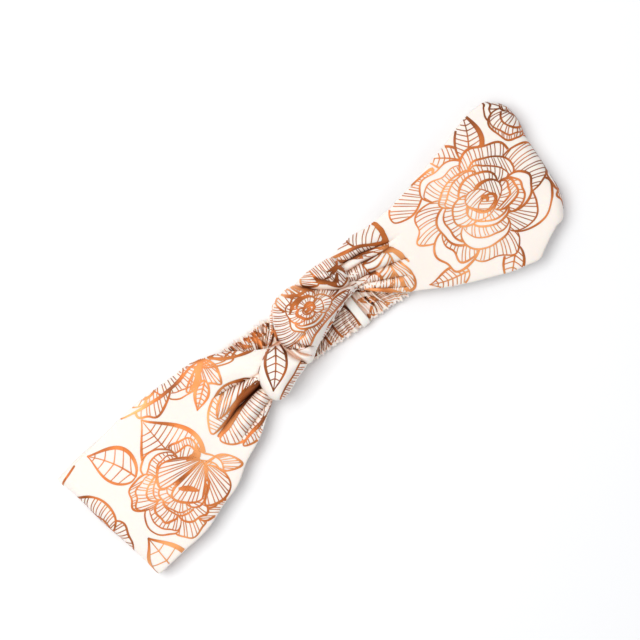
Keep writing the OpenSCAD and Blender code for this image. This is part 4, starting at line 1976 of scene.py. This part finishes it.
def knot_lobes(shop: Workshop) -> list[Lobe]:
    """The folds of strap that make the knot, from the lowest up.

    Args:
        shop: Finishes.

    Returns:
        The lobes.
    """
    core_low, core_high = node_box("knot_crossing")
    return [
        Lobe(
            name="knot_core_cloth",
            node="knot_crossing",
            shop=shop,
            outline=(
                (-29, -3), (-14, -1), (2, 2.6), (18, 7.4), (27, 9), (28.6, 16), (27.2, 25.5), (12, 27.4),
                (-5, 26.6), (-16, 19.5), (-22, 14.6), (-29.5, 12),
            ),
            heart=(0, 12.5),
            base=core_low[2] + 2.6,
            crown=core_high[2] - core_low[2] - 2.2,
            under=2.5,
            fullness=6,
            motifs=(Rose((0, 12), (30, 18), seed=95),),
            folds=(Fold(((-26, 2), (0, 10), (26, 20)), 1.4, -1.5, fade_in=0.1, fade_out=0.1),),
            seed=31,
        ),
        Lobe(
            name="knot_tuck_cloth",
            node="knot_side_tuck",
            shop=shop,
            outline=(
                (-20.4, 15.2), (-17, 18.2), (-13, 22.6), (-9, 26.4), (-5, 28.6), (-2, 28.4), (-5, 22),
                (-10, 17), (-15, 13.4),
            ),
            heart=(-11, 20.5),
            base=10,
            crown=top_of("knot_side_tuck") - 12,
            folds=(
                Fold(((-18, 15), (-11, 21.5), (-5, 27.6)), 0.9, -2.6, pinch=0.5, fade_in=0.1, fade_out=0.1),
                Fold(((-16, 18.5), (-10, 24.5), (-6, 28)), 0.7, -1.2, fade_in=0.1, fade_out=0.1),
            ),
            motifs=(
                Panel(
                    ((-19, 15.4), (-12, 21), (-5, 27.6), (-9, 27), (-15, 21)), (-24, 36), hatch=1.1,
                    edge=1.2, line=0.4,
                ),
                Panel(
                    ((-15, 14.6), (-10, 18.4), (-4, 24.4), (-5, 27), (-11, 21)), (2, 8), hatch=1.1,
                    edge=1.4, line=0.4,
                ),
                Sweep(((-20.4, 15.6), (-14, 18.4), (-10, 22.4), (-6, 28)), 2.6),
            ),
            seed=32,
        ),
        Lobe(
            name="knot_loop_cloth",
            node="knot_top_loop",
            shop=shop,
            outline=(
                (6.5, 27.2), (12, 28.7), (19, 28.4), (26.6, 26.4), (28, 21), (27, 15.5), (23.4, 11.8),
                (17.5, 13), (11, 19),
            ),
            heart=(19, 21),
            base=11.5,
            crown=top_of("knot_top_loop") - 12.2,
            tilt=(-0.12, 0.05),
            fullness=3.2,
            folds=(
                Fold(((13, 25.5), (19, 20), (24.5, 13.6)), 1.1, -1.6, pinch=0.4, fade_in=0.2, fade_out=0.1),
                Fold(((17, 27.2), (22, 22), (26, 17)), 1, -1, pinch=0.3, fade_in=0.2, fade_out=0.1),
                Fold(((22.5, 25.5), (26.5, 22)), 1.3, 0.8, fade_in=0.3, fade_out=0.3),
            ),
            motifs=(
                Panel(((9, 25.6), (12, 29), (16.5, 29), (16, 23), (13.6, 21)), (3, 34), hatch=1.3),
                Panel(
                    ((16.4, 29), (26.8, 27.4), (26.6, 22.6), (21, 20.6), (16.6, 21.6)), (18, -30),
                    hatch=1.15,
                ),
                Panel(((17, 20.6), (22, 20.2), (27.4, 20.6), (26, 15), (21, 14)), (22, 50), hatch=1.3),
                Sweep(((15.4, 25.6), (15.4, 21.6), (19.4, 17.4)), 2),
                Sweep(((17.6, 18.4), (20.4, 16), (23.8, 19.4)), 2.2),
                Sweep(((20.6, 22.4), (25.6, 21.6), (27, 17.4)), 1.6),
            ),
            seed=33,
        ),
        Lobe(
            name="knot_neck_wrap_cloth",
            node="knot_neck_wrap",
            shop=shop,
            outline=(
                (-20.4, 15), (-25.5, 13.6), (-30, 11.2), (-33.2, 7), (-34.6, 1.5), (-34.2, -2.6),
                (-32, -5.2), (-27, -5.7), (-20, -3.4), (-12.5, -1.6), (-10.4, 2.6), (-12, 8), (-14.6, 12.8),
            ),
            heart=(-22.4, 4.6),
            base=11,
            crown=top_of("knot_neck_wrap") - 11.4,
            fullness=3,
            tilt=(0.1, 0),
            folds=(
                Fold(((-15.6, 11), (-14.4, 5), (-12.4, -1)), 1, -3, pinch=0.6, fade_in=0.2, fade_out=0.1),
                Fold(((-30, -3.4), (-22, -1.6), (-14, 0.4)), 1.6, -0.8, fade_in=0.3, fade_out=0.2),
                Fold(((-31.5, 7.6), (-24, 11.5), (-18, 13.6)), 1.4, 0.6, fade_in=0.3, fade_out=0.2),
            ),
            motifs=(
                Panel(
                    ((-31.6, -5.6), (-27, -3), (-20, -1), (-13.4, 1), (-13, -3), (-22, -6)), (-40, 20),
                    hatch=1.35, edge=0.7,
                ),
                Leaf((-16.4, 15), (-31.2, -0.4), 9.4, bend=0.8, edges=(1, 1.2), veins=3.4),
                Sweep(((-31, 9.8), (-27, 12.8), (-20, 14.2)), 0.8),
            ),
            seed=34,
        ),
        Lobe(
            name="knot_front_wrap_cloth",
            node="knot_front_wrap",
            shop=shop,
            outline=(
                (-6.2, 27.8), (-1, 29.4), (5.5, 28.6), (10.2, 25.4), (14.6, 21), (18.6, 16.8), (22.4, 13),
                (26, 9.8), (21, 8.2), (13, 7), (7, 5.4), (1, 3), (-5, 0.4), (-9.6, -2), (-12.6, -1),
                (-14.4, 3), (-15.2, 8), (-15.2, 13), (-13.6, 18.4), (-10.4, 23.6),
            ),
            heart=(0.6, 15.4),
            base=12,
            crown=top_of("knot_front_wrap") - 12.4,
            fullness=2.7,
            shoulder=0.55,
            folds=(
                Fold(((-12.4, 10), (-11, 4), (-7.6, -1)), 0.9, -4.2, pinch=0.7, fade_in=0.3, fade_out=0.05),
                Fold(
                    ((-11.4, 10.4), (-7.4, 5), (-3.4, 0.6)), 0.9, -3, pinch=0.6, fade_in=0.3, fade_out=0.1,
                ),
                Fold(((-14, 6), (-12.4, 2), (-11, -1.6)), 0.8, 0.8, fade_in=0.3, fade_out=0.1),
                Fold(((-12, 11.6), (-4, 8.4), (6, 8.6), (18, 10.2)), 1.3, -0.9, fade_in=0.2, fade_out=0.3),
                Fold(((-13, 13), (-8, 17), (-3, 22)), 1, -0.8, fade_in=0.2, fade_out=0.6),
                Fold(((24, 10.6), (15, 14.4), (7, 19)), 1.1, -1, pinch=0.3, fade_in=0.1, fade_out=0.6),
                Fold(((24.6, 10.4), (15, 11.6), (6, 12.6)), 0.9, -0.7, fade_in=0.1, fade_out=0.6),
                Fold(((3.4, 29), (4.2, 23), (8, 17)), 1.3, -1.2, pinch=0.3, fade_in=0.1, fade_out=0.5),
                Fold(((-4.4, 28.4), (-3.4, 22), (-1, 17)), 1, -1.1, pinch=0.3, fade_in=0.1, fade_out=0.6),
            ),
            motifs=(
                Panel(
                    ((-13.6, 9.6), (-10.4, 5.8), (-6, 4), (-1, 5.8), (6, 7), (14, 8), (23, 9.8), (16, 12),
                    (4, 10), (-6, 10)), (6, 40), hatch=1.15, edge=0.8,
                ),
                Panel(
                    ((-15, 10), (-14.8, 15), (-12.6, 20.4), (-8, 26), (-3, 28.6), (-4, 20), (-7, 14),
                    (-4, 9)), (12, 11), hatch=1.35, edge=0.8, bow=0.12,
                ),
                Panel(
                    ((-5, 27), (-1, 29), (3, 28.4), (4, 22), (0, 19), (-4, 21)), (-1, 6), hatch=1.9,
                    edge=0.9,
                ),
                Panel(
                    ((5, 28.4), (10, 24.6), (15.4, 19), (20, 14.2), (14, 13), (8, 15), (6.4, 22)), (-3, 8),
                    hatch=1.25, edge=0.8,
                ),
                Rose((4.4, 16), (10.4, 7.6), seed=101, turn=-18, petals=(4, 3), hatch=1.3, weight=0.85),
                Sweep(((5.4, 28.2), (7, 25.4), (9.6, 22.6), (12.6, 19.8)), 1.9),
                Sweep(((-0.6, 28.6), (1.4, 25.6), (4.6, 23.4), (9.6, 22.2)), 1.7),
                Sweep(((-3.4, 19.6), (0, 21.6), (4, 22), (8.4, 20.4)), 1.8),
                Sweep(((15.4, 17.8), (18, 15.4), (21.4, 13)), 1.8),
            ),
            seed=35,
        ),
    ]


# ---------------------------------------------------------------------------
# Studio
# ---------------------------------------------------------------------------


@dataclass
class Studio:
    """A pale floor, soft light from all round, and a camera straight above."""

    view_turn: float = 42.0  # how far +X is turned up from the view's right
    view_centre: Point = (4.7, 9.1)
    view_width: float = 281.6
    lens: float = 100.0
    sky: float = 0.66
    lamp: float = 7.6  # watts

    def build(self) -> None:
        """Makes the floor, lights and camera."""
        self._floor()
        self._light()
        self._camera()

    def _floor(self) -> None:
        """A seamless pale sheet."""
        bpy.ops.object.select_all(action="DESELECT")
        bpy.ops.mesh.primitive_plane_add(size=8, location=(0, 0, 0))
        floor = bpy.context.object
        floor.name = "studio_floor"
        floor.data.materials.append(StudioPaper().make())

    def _light(self) -> None:
        """A bright sky that is darker straight above, and one large lamp."""
        world = bpy.data.worlds.new("studio_sky")
        bpy.context.scene.world = world
        world.use_nodes = True
        tree = world.node_tree
        tree.nodes.clear()
        where = add_node(tree, "TexCoord").outputs["Generated"]
        split = add_node(tree, "SeparateXYZ", {0: where})
        ramp = add_node(tree, "ValToRGB", {0: split.outputs["Z"]})
        stops = ramp.color_ramp.elements
        stops[0].position, stops[0].color = 0.0, (0.9, 0.93, 1.0, 1)
        stops[1].position, stops[1].color = 1.0, (0.5, 0.5, 0.52, 1)
        stops.new(0.75).color = (1.0, 1.0, 1.0, 1)
        shine = add_node(tree, "Background", {"Color": ramp.outputs[0], "Strength": self.sky})
        add_node(tree, "OutputWorld", {0: shine.outputs[0]})
        lamp = bpy.data.lights.new("window", "AREA")
        lamp.shape, lamp.size, lamp.size_y, lamp.energy = "RECTANGLE", 0.8, 0.6, self.lamp
        lamp.color = (1.0, 0.985, 0.97)
        hung = bpy.data.objects.new("window", lamp)
        hung.location = (-0.22, 0.34, 1.0)
        hung.rotation_euler = (-0.33, -0.22, 0.0)
        bpy.context.scene.collection.objects.link(hung)

    def _camera(self) -> None:
        """A long lens looking straight down."""
        camera = bpy.data.cameras.new("camera")
        camera.lens, camera.sensor_width = self.lens, 36.0
        holder = bpy.data.objects.new("camera", camera)
        distance = self.view_width * MM * self.lens / camera.sensor_width
        holder.location = (self.view_centre[0] * MM, self.view_centre[1] * MM, distance + 0.01)
        holder.rotation_euler = (0.0, 0.0, -math.radians(self.view_turn))
        camera.clip_start = 0.05
        bpy.context.scene.collection.objects.link(holder)
        bpy.context.scene.camera = holder
        bpy.context.scene.view_settings.view_transform = "Standard"


def main() -> None:
    """Builds the headband round the frame, then the studio."""
    logging.basicConfig(level=logging.INFO, format="%(name)s: %(message)s")
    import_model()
    Studio().build()
    shop = Workshop()
    for band in (left_band(shop), right_band(shop)):
        band.build()
    for lobe in knot_lobes(shop):
        lobe.build()
    Casing(shop).build()


if __name__ == "__main__":
    main()
